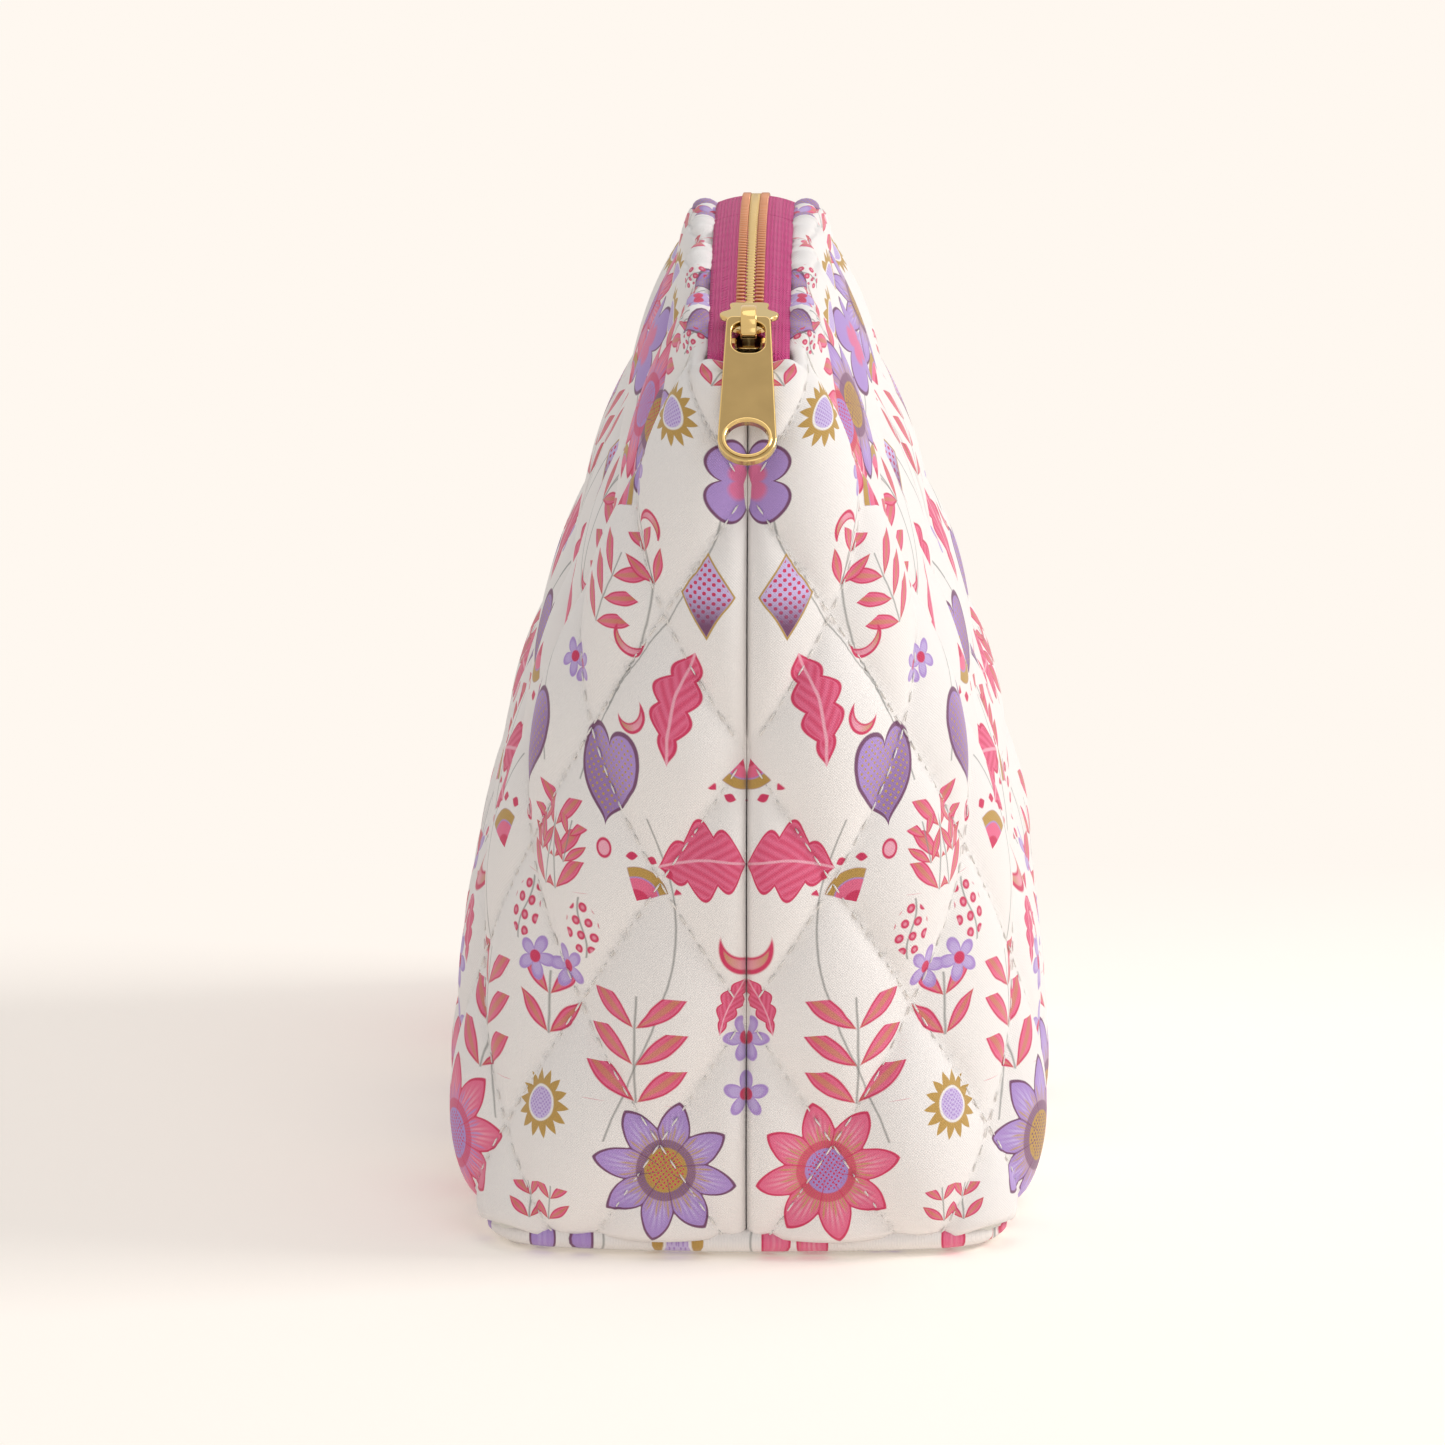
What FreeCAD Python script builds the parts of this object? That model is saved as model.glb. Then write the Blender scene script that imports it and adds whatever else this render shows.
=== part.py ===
import FreeCAD, Part
import math
import os

from FreeCAD import Vector

# A quilted cotton makeup bag with an arched zip along its top.
# Millimetres. +Z is up, the zip runs along Y, and the origin is under the middle of the base.

# Outer shape of the bag
BAG_WIDTH_BASE = 114.0      # across the base seam
BAG_WIDTH_BELLY = 170.6     # handle that swells the sides just above the base
BAG_WIDTH_SHOULDER = 33.4   # handle that draws the sides in below the zip
BAG_WIDTH_MOUTH = 25.0      # across the two rolled edges beside the zip
BAG_LENGTH_BASE = 257.0     # along the base seam
BAG_LENGTH_BELLY = 265.0    # handle that swells the ends
BAG_LENGTH_SHOULDER = 248.0
BAG_LENGTH_MOUTH = 202.0    # between the ends of the mouth
BELLY_HEIGHT_SHARE = 0.167  # heights of the two handles, as shares of the wall's height
SHOULDER_HEIGHT_SHARE = 0.938
END_CROWN = 6.0             # how far the middle of each end stands out at the base
CORNER_SHARE_BASE = 0.25    # corner radius in plan, as a share of the half width
CORNER_SHARE_WALL = 0.85
CORNER_SHARE_MOUTH = 0.85
CORNER_BLEND_SHARE = 0.3    # share of the height over which the corners soften
MOUTH_BLEND_SHARE = 0.25    # share of the height over which they change again below the mouth

# Zip arc: the zip follows one circle in the YZ plane
ZIP_CREST_HEIGHT = 208.5    # top of the arc, at the middle of the tape's thickness
ZIP_ARC_RADIUS = 340.0
RIM_DROP = 1.5              # the walls end this far under the tape

# Cloth layers
COVER_THICKNESS = 0.8
WADDING_THICKNESS = 2.8
LINING_THICKNESS = 0.5
LAYER_GAP = 0.1
SEAM_HALF_GAP = 0.1
BASE_FILLET = 2.4

# Bound seam allowances inside the bag
BINDING_HALF_THICKNESS = 0.9
BINDING_DEPTH = 7.0
BINDING_GAP = 0.3

# Zip
TAPE_HALF_GAP = 0.9         # from the middle of the chain to the tape's beaded edge
TAPE_THICKNESS = 0.6
TAPE_EDGE_GAP = 0.15
TOOTH_PITCH = 2.2
TOOTH_LENGTH = 1.0          # along the chain
TOOTH_OUTER_X = 3.0
TOOTH_INNER_X = -0.75       # each tooth reaches past the middle, between its two neighbours
TOOTH_HALF_HEIGHT = 1.2
TAPE_CLEARANCE = 0.05
STOP_LENGTH = 2.4
STOP_INNER_X = 2.6
STOP_OUTER_X = 5.0
STOP_WALL = 0.45
STOP_GAP = 0.9              # from the slider's nose to the top stops

# Slider and pull
SLIDER_LENGTH = 14.0
SLIDER_HALF_WIDTH_FAR = 4.1
SLIDER_HALF_WIDTH_SHOULDER = 6.4
PLATE_THICKNESS = 1.2
FLANGE_THICKNESS = 0.8
SLIDER_SPARE = 0.06
NECK_HALF_WIDTH = 1.5
NECK_LENGTH = 4.0
NOSE_TO_MOUTH_END = 5.0     # from the slider's nose to the end of the mouth
TRAVEL_SPARE = 0.8          # left between the slider's tail and the bottom stop
BRIDGE_WIDTH = 3.5
BRIDGE_THICKNESS = 1.2
BRIDGE_LENGTH = 10.5
BRIDGE_REACH = 2.7          # from the pull's pivot to the outer face of the bridge's near leg
PIVOT_HEIGHT = 2.1          # pull's pivot above the slider's top plate
PULL_LENGTH = 40.0
PULL_THICKNESS = 1.8
PULL_WIDTH_TOP = 9.7
PULL_WIDTH_BOTTOM = 12.7
PULL_HOLE_RADIUS = 4.6
PULL_HOLE_RIM = 1.75
PULL_WINDOW_WIDTH = 7.2
PULL_WINDOW_LENGTH = 8.6
PULL_BAR = 1.6
PULL_LEAN_DEG = 49.0        # the hanging pull's angle from upright, where it lies on the mouth's end
PULL_EDGE_ROUND = 0.3

# Worked out from the sizes above
SLIDER_SAG = SLIDER_LENGTH ** 2 / (2 * ZIP_ARC_RADIUS)  # the chain curves away from the flat slider by this much
PLATE_TOOTH_GAP = SLIDER_SAG + SLIDER_SPARE
FLANGE_TAPE_GAP = SLIDER_SAG + SLIDER_SPARE
ARC_CENTRE_Z = ZIP_CREST_HEIGHT - ZIP_ARC_RADIUS
BASE_STACK = COVER_THICKNESS + WADDING_THICKNESS + LINING_THICKNESS + 2 * LAYER_GAP
WALL_FOOT_Z = BASE_STACK + LAYER_GAP
WADDING_INSET = COVER_THICKNESS + LAYER_GAP
LINING_INSET = WADDING_INSET + WADDING_THICKNESS + LAYER_GAP
INSIDE_INSET = LINING_INSET + LINING_THICKNESS
MOUTH_END_Y = -(BAG_LENGTH_MOUTH / 2 - INSIDE_INSET)

SAMPLES_ROUND = 41
SAMPLES_UP = 17


def bezier(points, share):
    """Return a cubic Bezier's value from its four handles."""
    rest = 1.0 - share
    return (points[0] * rest ** 3 + 3 * points[1] * share * rest ** 2
            + 3 * points[2] * share ** 2 * rest + points[3] * share ** 3)


def arc_height(y, radius):
    """Return the height of a circle about the zip arc's centre, at a place along the bag."""
    return ARC_CENTRE_Z + math.sqrt(max(radius ** 2 - y ** 2, 0.0))


def wall_point(inset, turn, rise, foot_z=WALL_FOOT_Z):
    """Return a point of the wall.

    turn runs from 0 at the near end's seam, round the right side, to 0.5 at the far end's seam.
    rise runs from 0 at the base seam to 1 at the rim.
    """
    full_x = bezier([BAG_WIDTH_BASE, BAG_WIDTH_BELLY, BAG_WIDTH_SHOULDER, BAG_WIDTH_MOUTH], rise) / 2
    full_y = bezier([BAG_LENGTH_BASE, BAG_LENGTH_BELLY, BAG_LENGTH_SHOULDER, BAG_LENGTH_MOUTH], rise) / 2
    half_x = full_x - inset
    half_y = full_y - inset
    soften = min(rise / CORNER_BLEND_SHARE, 1.0) ** 0.8
    sharpen = max(rise - 1.0 + MOUTH_BLEND_SHARE, 0.0) / MOUTH_BLEND_SHARE
    corner_share = CORNER_SHARE_BASE + (CORNER_SHARE_WALL - CORNER_SHARE_BASE) * soften
    corner_share += (CORNER_SHARE_MOUTH - CORNER_SHARE_WALL) * sharpen ** 2
    corner = max(corner_share * full_x - inset, 1.0)
    flat_end = half_x - corner
    bend = math.pi / 2 * corner
    flat_side = half_y - corner
    quarter = 4 * turn if turn <= 0.25 else 4 * (0.5 - turn)
    run = quarter * (flat_end + bend + flat_side)
    if run < flat_end:
        x, y = run, half_y
    elif run < flat_end + bend:
        angle = (run - flat_end) / corner
        x = flat_end + corner * math.sin(angle)
        y = flat_side + corner * math.cos(angle)
    else:
        x, y = half_x, flat_side - (run - flat_end - bend)
    crown = END_CROWN * (1.0 - rise) * (x / half_x) ** 2
    y *= 1.0 - crown / half_y
    if turn <= 0.25:
        y = -y
    x = SEAM_HALF_GAP + x * (half_x - SEAM_HALF_GAP) / half_x
    share_up = bezier([0.0, BELLY_HEIGHT_SHARE, SHOULDER_HEIGHT_SHARE, 1.0], rise)
    rim_z = arc_height(y, ZIP_ARC_RADIUS - RIM_DROP)
    return Vector(x, y, foot_z + (rim_z - foot_z) * share_up)


def wall_surface(inset):
    """Return the smooth surface of the right-hand wall at one depth."""
    rows = []
    for i in range(SAMPLES_ROUND):
        turn = 0.5 * i / (SAMPLES_ROUND - 1)
        rows.append([wall_point(inset, turn, j / (SAMPLES_UP - 1)) for j in range(SAMPLES_UP)])
    surface = Part.BSplineSurface()
    surface.interpolate(rows)
    return surface


def layer(outer_inset, inner_inset):
    """Return one cloth layer of the right-hand wall, from its outer and inner surfaces."""
    outer = wall_surface(outer_inset)
    inner = wall_surface(inner_inset)
    u0, u1, v0, v1 = outer.bounds()
    faces = [outer.toShape(), inner.toShape()]
    for at in (u0, u1):
        faces.append(Part.makeRuledSurface(outer.uIso(at).toShape(), inner.uIso(at).toShape()))
    for at in (v0, v1):
        faces.append(Part.makeRuledSurface(outer.vIso(at).toShape(), inner.vIso(at).toShape()))
    shell = Part.Shell(faces)
    shell.sewShape()
    solid = Part.Solid(shell)
    if solid.Volume < 0:
        solid.reverse()
    half_space = Part.makeBox(BAG_WIDTH_BELLY, 2 * BAG_LENGTH_BELLY, 2 * ZIP_CREST_HEIGHT,
                              Vector(SEAM_HALF_GAP, -BAG_LENGTH_BELLY, 0))
    return solid.common(half_space)


def mirrored(shape):
    """Return the left-hand copy of a right-hand piece."""
    return shape.mirror(Vector(0, 0, 0), Vector(1, 0, 0))


def base_outline(inset):
    """Return the base's outline at one depth, as a closed smooth wire."""
    right = [wall_point(inset, 0.5 * i / (SAMPLES_ROUND - 1), 0.0) for i in range(SAMPLES_ROUND)]
    right[0].x = 0.0
    right[-1].x = 0.0
    left = [Vector(-p.x, p.y, p.z) for p in reversed(right[1:-1])]
    points = [Vector(p.x, p.y, 0.0) for p in right + left]
    curve = Part.BSplineCurve()
    curve.interpolate(Points=points, PeriodicFlag=True)
    return Part.Wire([curve.toShape()])


def base_slab(inset, low_z, high_z):
    """Return a flat slab of the base's outline."""
    face = Part.Face(base_outline(inset))
    face.translate(Vector(0, 0, low_z))
    return face.extrude(Vector(0, 0, high_z - low_z))


def cover_base():
    """Return the base's cover: a sheet whose edge turns up to the seam."""
    slab = base_slab(0.0, 0.0, BASE_STACK)
    low_edges = [edge for edge in slab.Edges if edge.BoundBox.ZMax < 0.01]
    slab = slab.makeFillet(BASE_FILLET, low_edges)
    return slab.cut(base_slab(BASE_FILLET, COVER_THICKNESS, BASE_STACK + 1.0))


def wadding_base():
    low_z = COVER_THICKNESS + LAYER_GAP
    return base_slab(BASE_FILLET + LAYER_GAP, low_z, low_z + WADDING_THICKNESS)


def lining_base():
    return base_slab(BASE_FILLET + LAYER_GAP, BASE_STACK - LINING_THICKNESS, BASE_STACK)


def binding_base():
    """Return the bound allowance of the base seam, a flat ring inside the bag."""
    outer_inset = INSIDE_INSET + BINDING_GAP
    low_z = BASE_STACK + BINDING_GAP
    high_z = low_z + 2 * BINDING_HALF_THICKNESS
    ring = base_slab(outer_inset, low_z, high_z)
    return ring.cut(base_slab(outer_inset + BINDING_DEPTH, low_z - 1.0, high_z + 1.0))


def binding_side(end):
    """Return the bound allowance of a side seam, a fin that stands in from the end wall."""
    first, last = 0.12, 0.90
    count = 9
    turn = 0.0 if end < 0 else 0.5
    outer = []
    for i in range(count):
        rise = first + (last - first) * i / (count - 1)
        p = wall_point(INSIDE_INSET + BINDING_GAP, turn, rise)
        outer.append(Vector(-BINDING_HALF_THICKNESS, p.y, p.z))
    inner = [Vector(p.x, p.y - end * BINDING_DEPTH, p.z) for p in outer]
    curves = []
    for points in (outer, inner):
        curve = Part.BSplineCurve()
        curve.interpolate(points)
        curves.append(curve.toShape())
    face = Part.makeRuledSurface(curves[0], curves[1])
    return face.extrude(Vector(2 * BINDING_HALF_THICKNESS, 0, 0))


def chain_angle(y):
    """Return how far round the zip arc a place along the bag lies, in degrees."""
    return math.degrees(math.asin(y / ZIP_ARC_RADIUS))


def chain_step(length):
    """Return the angle that a length along the chain takes, in degrees."""
    return math.degrees(length / ZIP_ARC_RADIUS)


def on_chain(shape, angle):
    """Carry a shape from the top of the arc to an angle along it; positive goes to the far end."""
    moved = shape.copy()
    moved.rotate(Vector(0, 0, ARC_CENTRE_Z), Vector(-1, 0, 0), angle)
    return moved


def crest_box(x0, x1, y0, y1, h0, h1):
    """Return a box at the top of the arc, its heights measured from the middle of the tape."""
    corner = Vector(x0, y0, ZIP_CREST_HEIGHT + h0)
    return Part.makeBox(x1 - x0, y1 - y0, h1 - h0, corner)


NOSE_ANGLE = chain_angle(MOUTH_END_Y) + chain_step(NOSE_TO_MOUTH_END)
TAIL_ANGLE = NOSE_ANGLE + chain_step(SLIDER_LENGTH)
LAST_ANGLE = -chain_angle(MOUTH_END_Y) - chain_step(STOP_LENGTH)
TRAVEL_DEG = LAST_ANGLE - chain_step(STOP_LENGTH + TRAVEL_SPARE) - TAIL_ANGLE


def zip_tape():
    """Return the right-hand tape: a strip turned about the arc's centre."""
    outer_x = BAG_WIDTH_MOUTH / 2 - INSIDE_INSET - TAPE_EDGE_GAP
    low = ZIP_ARC_RADIUS - TAPE_THICKNESS / 2
    high = ZIP_ARC_RADIUS + TAPE_THICKNESS / 2
    corners = [Vector(x, 0, ARC_CENTRE_Z + r) for x, r in
               ((TAPE_HALF_GAP, low), (outer_x, low), (outer_x, high), (TAPE_HALF_GAP, high))]
    face = Part.Face(Part.makePolygon(corners + corners[:1]))
    end = -chain_angle(MOUTH_END_Y) - chain_step(CORNER_SHARE_MOUTH * outer_x / 2)
    face.rotate(Vector(0, 0, ARC_CENTRE_Z), Vector(1, 0, 0), end)
    strip = face.revolve(Vector(0, 0, ARC_CENTRE_Z), Vector(-1, 0, 0), 2 * end)
    # Ahead of the slider's neck the two tapes are parted.
    parted = crest_box(-1.0, STOP_INNER_X + STOP_WALL + TAPE_CLEARANCE, -NOSE_TO_MOUTH_END - 1.0,
                       NECK_LENGTH + PLATE_TOOTH_GAP, -TAPE_THICKNESS, TAPE_THICKNESS)
    return strip.cut(on_chain(parted, NOSE_ANGLE))


def clamp_on_tape(inner_x, outer_x, edge_x, length):
    """Return a metal piece clamped over a tape's edge at edge_x, at the top of the arc."""
    half_height = TOOTH_HALF_HEIGHT
    block = crest_box(inner_x, outer_x, -length / 2, length / 2, -half_height, half_height)
    ends = [edge for edge in block.Edges if abs(edge.BoundBox.YLength - length) < 1e-6]
    block = block.makeFillet(min(half_height, outer_x - inner_x) * 0.35, ends)
    slot_half = TAPE_THICKNESS / 2 + TAPE_CLEARANCE
    slot_x = edge_x - TAPE_CLEARANCE
    return block.cut(crest_box(slot_x, outer_x + 1.0, -length, length, -slot_half, slot_half))


def zip_teeth(side):
    """Return one side's teeth, as separate solids along the meshed chain."""
    first = NOSE_ANGLE + chain_step(SLIDER_LENGTH / 2)
    step = chain_step(TOOTH_PITCH)
    count = int((LAST_ANGLE - first) / step)
    tooth = clamp_on_tape(TOOTH_INNER_X, TOOTH_OUTER_X, TAPE_HALF_GAP, TOOTH_LENGTH)
    shift = 0.25 if side > 0 else 0.75
    if side < 0:
        tooth = mirrored(tooth)
    return Part.makeCompound([on_chain(tooth, first + step * (i + shift)) for i in range(count)])


def top_stop():
    """Return the right-hand top stop, clamped on its tape just past the slider's nose."""
    edge_x = STOP_INNER_X + STOP_WALL + TAPE_CLEARANCE
    stop = clamp_on_tape(STOP_INNER_X, STOP_OUTER_X, edge_x, STOP_LENGTH)
    return on_chain(stop, NOSE_ANGLE - chain_step(STOP_LENGTH / 2 + STOP_GAP))


def bottom_stop():
    """Return the bottom stop, one block clamped over both tapes at the far end of the chain."""
    block = crest_box(-TOOTH_OUTER_X, TOOTH_OUTER_X, -STOP_LENGTH / 2, STOP_LENGTH / 2,
                      -TOOTH_HALF_HEIGHT, TOOTH_HALF_HEIGHT)
    slot_half = TAPE_THICKNESS / 2 + TAPE_CLEARANCE
    inner = TAPE_HALF_GAP - TAPE_CLEARANCE
    for x0, x1 in ((inner, TOOTH_OUTER_X + 1.0), (-TOOTH_OUTER_X - 1.0, -inner)):
        block = block.cut(crest_box(x0, x1, -STOP_LENGTH, STOP_LENGTH, -slot_half, slot_half))
    return on_chain(block, LAST_ANGLE + chain_step(STOP_LENGTH / 2))


def slider_outline():
    """Return the slider plate's outline, its nose at y = 0 and its tail at the slider's length."""
    shoulder = SLIDER_HALF_WIDTH_SHOULDER
    tail = SLIDER_HALF_WIDTH_FAR
    waist = (shoulder + tail) / 2 - 0.4
    right = [Vector(shoulder - 1.2, 0, 0), Vector(shoulder, 2.4, 0), Vector(waist + 0.2, 5.4, 0),
             Vector(waist + 0.35, 6.6, 0), Vector(tail + 0.2, 9.0, 0), Vector(tail, SLIDER_LENGTH, 0)]
    arcs = []
    for start, end in zip(right[:-1], right[1:]):
        middle = (start + end) * 0.5
        bulge = Vector(end.y - start.y, start.x - end.x, 0)
        bulge.normalize()
        outward = 0.35 if end.x >= start.x else -0.3
        if end.y == SLIDER_LENGTH:
            outward = 0.15
        arcs.append(Part.Arc(start, middle + bulge * outward, end).toShape())
    left = [arc.mirror(Vector(0, 0, 0), Vector(1, 0, 0)) for arc in arcs]
    nose = Part.makeLine(Vector(-right[0].x, 0, 0), right[0])
    back = Part.makeLine(right[-1], Vector(-right[-1].x, SLIDER_LENGTH, 0))
    return Part.Wire(Part.__sortEdges__(arcs + left + [nose, back]))


def slider_levels():
    """Return the heights of the slider's plates: inside and outside of the top plate."""
    inside = TOOTH_HALF_HEIGHT + PLATE_TOOTH_GAP
    return inside, inside + PLATE_THICKNESS


def slider_body():
    """Return the slider's body: two plates, side flanges, the neck that parts the teeth."""
    inside, outside = slider_levels()
    plate = Part.Face(slider_outline()).extrude(Vector(0, 0, PLATE_THICKNESS))
    top = plate.copy()
    top.translate(Vector(0, 0, ZIP_CREST_HEIGHT + inside))
    bottom = plate.copy()
    bottom.translate(Vector(0, 0, ZIP_CREST_HEIGHT - outside))
    half_tongue = BRIDGE_WIDTH / 2
    tongue = crest_box(-half_tongue, half_tongue, -BRIDGE_REACH, 1.0, inside, outside)
    neck = crest_box(-NECK_HALF_WIDTH, NECK_HALF_WIDTH, 0.6, NECK_LENGTH, -inside - 0.2, inside + 0.2)
    body = top.fuse([bottom, tongue, neck])
    flange_low = TAPE_THICKNESS / 2 + FLANGE_TAPE_GAP
    flange_x = TOOTH_OUTER_X + PLATE_TOOTH_GAP
    for sign in (1, -1):
        x0, x1 = sorted((sign * flange_x, sign * (flange_x + FLANGE_THICKNESS)))
        for h0, h1 in ((flange_low, inside + 0.2), (-inside - 0.2, -flange_low)):
            body = body.fuse(crest_box(x0, x1, NECK_LENGTH + 1.0, SLIDER_LENGTH - 0.3, h0, h1))
    return on_chain(body.removeSplitter(), NOSE_ANGLE)


def bridge_profile(low_z, grow):
    """Return an arch in the slider's middle plane, from its near leg to its far foot."""
    near_y = grow - BRIDGE_REACH
    far_y = BRIDGE_LENGTH - BRIDGE_REACH - grow
    high_z = low_z + PIVOT_HEIGHT + PULL_THICKNESS * 0.75 + BRIDGE_THICKNESS - grow
    crown_y = near_y + (far_y - near_y) * 0.3
    shoulder_z = low_z + (high_z - low_z) * 0.55
    near_leg = Part.makeLine(Vector(0, near_y, low_z), Vector(0, near_y, shoulder_z))
    crown = Vector(0, crown_y, high_z)
    bend = Part.BSplineCurve()
    bend.interpolate(Points=[Vector(0, near_y, shoulder_z), crown, Vector(0, far_y, low_z)],
                     Tangents=[Vector(0, 0, 3.2), Vector(0, 5.5, -0.4), Vector(0, 2.2, -4.5)],
                     TangentFlags=[True, True, True])
    foot = Part.makeLine(Vector(0, far_y, low_z), Vector(0, near_y, low_z))
    return Part.Face(Part.Wire([near_leg, bend.toShape(), foot]))


def slider_bridge():
    """Return the arched strap that holds the pull on the slider."""
    outside = slider_levels()[1]
    low_z = ZIP_CREST_HEIGHT + outside
    arch = bridge_profile(low_z, 0.0).extrude(Vector(BRIDGE_WIDTH, 0, 0))
    hollow = bridge_profile(low_z, BRIDGE_THICKNESS).extrude(Vector(BRIDGE_WIDTH + 2, 0, 0))
    hollow.translate(Vector(-1, 0, 0))
    strap = arch.cut(hollow)
    strap.translate(Vector(-BRIDGE_WIDTH / 2, 0, 0))
    return on_chain(strap, NOSE_ANGLE)


def pull_pivot():
    """Return the pull's pivot at rest."""
    height = slider_levels()[1] + PIVOT_HEIGHT
    point = Part.Vertex(0, 0, ZIP_CREST_HEIGHT + height)
    return on_chain(point, NOSE_ANGLE).Point


def rounded_slot(half_width, top_y, bottom_y, radius):
    """Return a face shaped as a rounded rectangle in the XY plane, centred on x = 0."""
    flat = half_width - radius
    box = Part.makePlane(2 * half_width, top_y - bottom_y - 2 * radius,
                         Vector(-half_width, bottom_y + radius, 0))
    tall = Part.makePlane(2 * flat, top_y - bottom_y, Vector(-flat, bottom_y, 0))
    shape = box.fuse(tall)
    for x in (-flat, flat):
        for y in (bottom_y + radius, top_y - radius):
            disc = Part.Face(Part.Wire([Part.makeCircle(radius, Vector(x, y, 0))]))
            shape = shape.fuse(disc)
    return shape.removeSplitter()


def pull_tab():
    """Return the pull: a plate that widens downwards, with a window and a round finger hole."""
    bar_half = PULL_BAR / 2
    top_r = PULL_WIDTH_TOP / 2
    bottom_r = PULL_WIDTH_BOTTOM / 2
    bottom_centre = -(PULL_LENGTH - bar_half - bottom_r)
    shoulder = bar_half - top_r * 0.62
    corners = [Vector(-top_r, shoulder, 0), Vector(top_r, shoulder, 0),
               Vector(bottom_r, bottom_centre, 0), Vector(-bottom_r, bottom_centre, 0)]
    right = Part.makeLine(corners[1], corners[2])
    left = Part.makeLine(corners[3], corners[0])
    foot = Part.Arc(corners[2], Vector(0, bottom_centre - bottom_r, 0), corners[3]).toShape()
    head = Part.Arc(corners[0], Vector(0, bar_half, 0), corners[1]).toShape()
    plate = Part.Face(Part.Wire([right, foot, left, head])).extrude(Vector(0, 0, PULL_THICKNESS))
    window_top = -bar_half
    window = rounded_slot(PULL_WINDOW_WIDTH / 2, window_top, window_top - PULL_WINDOW_LENGTH,
                          PULL_WINDOW_WIDTH * 0.42)
    window = window.extrude(Vector(0, 0, PULL_THICKNESS * 3))
    window.translate(Vector(0, 0, -PULL_THICKNESS))
    hole_y = bottom_centre - bottom_r + PULL_HOLE_RIM + PULL_HOLE_RADIUS
    hole = Part.makeCylinder(PULL_HOLE_RADIUS, PULL_THICKNESS * 3, Vector(0, hole_y, -PULL_THICKNESS))
    outline = [edge for edge in plate.Edges if edge.BoundBox.ZLength < 0.01]
    plate = plate.makeFillet(PULL_EDGE_ROUND, outline)
    plate = plate.cut(window).cut(hole)
    plate.translate(Vector(0, 0, -PULL_THICKNESS / 2))
    # The plate lies in XY with its length down -Y; lean it, then hang it from the pivot.
    plate.rotate(Vector(0, 0, 0), Vector(1, 0, 0), 90.0 - PULL_LEAN_DEG)
    plate.translate(pull_pivot())
    return plate


def print_joint_facts():
    """Print what the joints and mounts need from the model."""
    pivot = pull_pivot()
    print("arc centre z %.3f, travel %.3f deg" % (ARC_CENTRE_Z, TRAVEL_DEG))
    print("pull pivot y %.4f z %.4f" % (pivot.y, pivot.z))
    along = PULL_LENGTH - PULL_BAR / 2 - PULL_HOLE_RIM - PULL_HOLE_RADIUS
    lean = math.radians(PULL_LEAN_DEG)
    print("pull hole y %.4f z %.4f" % (pivot.y - along * math.sin(lean), pivot.z - along * math.cos(lean)))


def export(name, shape):
    shape.exportStep("parts/%s.step" % name)


def main():
    os.makedirs("parts", exist_ok=True)
    cover = layer(0.0, COVER_THICKNESS)
    wadding = layer(WADDING_INSET, WADDING_INSET + WADDING_THICKNESS)
    lining = layer(LINING_INSET, INSIDE_INSET)
    tape = zip_tape()
    stop = top_stop()
    for name, shape in (("cover", cover), ("wadding", wadding), ("lining", lining),
                        ("zip_tape", tape), ("top_stop", stop)):
        export(name + "_right", shape)
        export(name + "_left", mirrored(shape))
    export("zip_teeth_right", zip_teeth(1))
    export("zip_teeth_left", zip_teeth(-1))
    export("cover_base", cover_base())
    export("wadding_base", wadding_base())
    export("lining_base", lining_base())
    export("binding_base", binding_base())
    export("binding_side_near", binding_side(-1))
    export("binding_side_far", binding_side(1))
    export("bottom_stop", bottom_stop())
    export("slider_body", slider_body())
    export("slider_bridge", slider_bridge())
    export("pull_tab", pull_tab())
    print_joint_facts()


main()
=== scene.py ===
import math

import bmesh
import bpy
import numpy as np
from mathutils import Matrix, Vector


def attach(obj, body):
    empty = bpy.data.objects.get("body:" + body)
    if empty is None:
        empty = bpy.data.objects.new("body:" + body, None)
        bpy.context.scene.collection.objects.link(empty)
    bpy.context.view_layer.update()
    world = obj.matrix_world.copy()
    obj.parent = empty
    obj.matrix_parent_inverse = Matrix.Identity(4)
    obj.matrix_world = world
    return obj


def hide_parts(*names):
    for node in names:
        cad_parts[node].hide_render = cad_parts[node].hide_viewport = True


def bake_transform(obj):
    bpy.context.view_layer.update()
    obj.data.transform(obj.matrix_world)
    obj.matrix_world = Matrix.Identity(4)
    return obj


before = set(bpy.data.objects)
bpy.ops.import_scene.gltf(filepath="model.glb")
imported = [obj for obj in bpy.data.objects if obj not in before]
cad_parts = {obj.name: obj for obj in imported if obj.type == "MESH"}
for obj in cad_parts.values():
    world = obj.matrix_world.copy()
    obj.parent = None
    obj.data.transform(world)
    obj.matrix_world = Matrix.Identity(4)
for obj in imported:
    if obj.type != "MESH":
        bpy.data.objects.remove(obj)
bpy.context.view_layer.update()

bl_info = {
    "name": "Quilted makeup bag",
    "version": (1, 0, 0),
    "blender": (4, 5, 0),
    "location": "3D View > Sidebar > Makeup Bag",
    "description": "Builds the cloth, the zip and the finishes of a quilted makeup bag around its CAD frame",
    "category": "Add Mesh",
}

MM = 0.001

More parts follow.
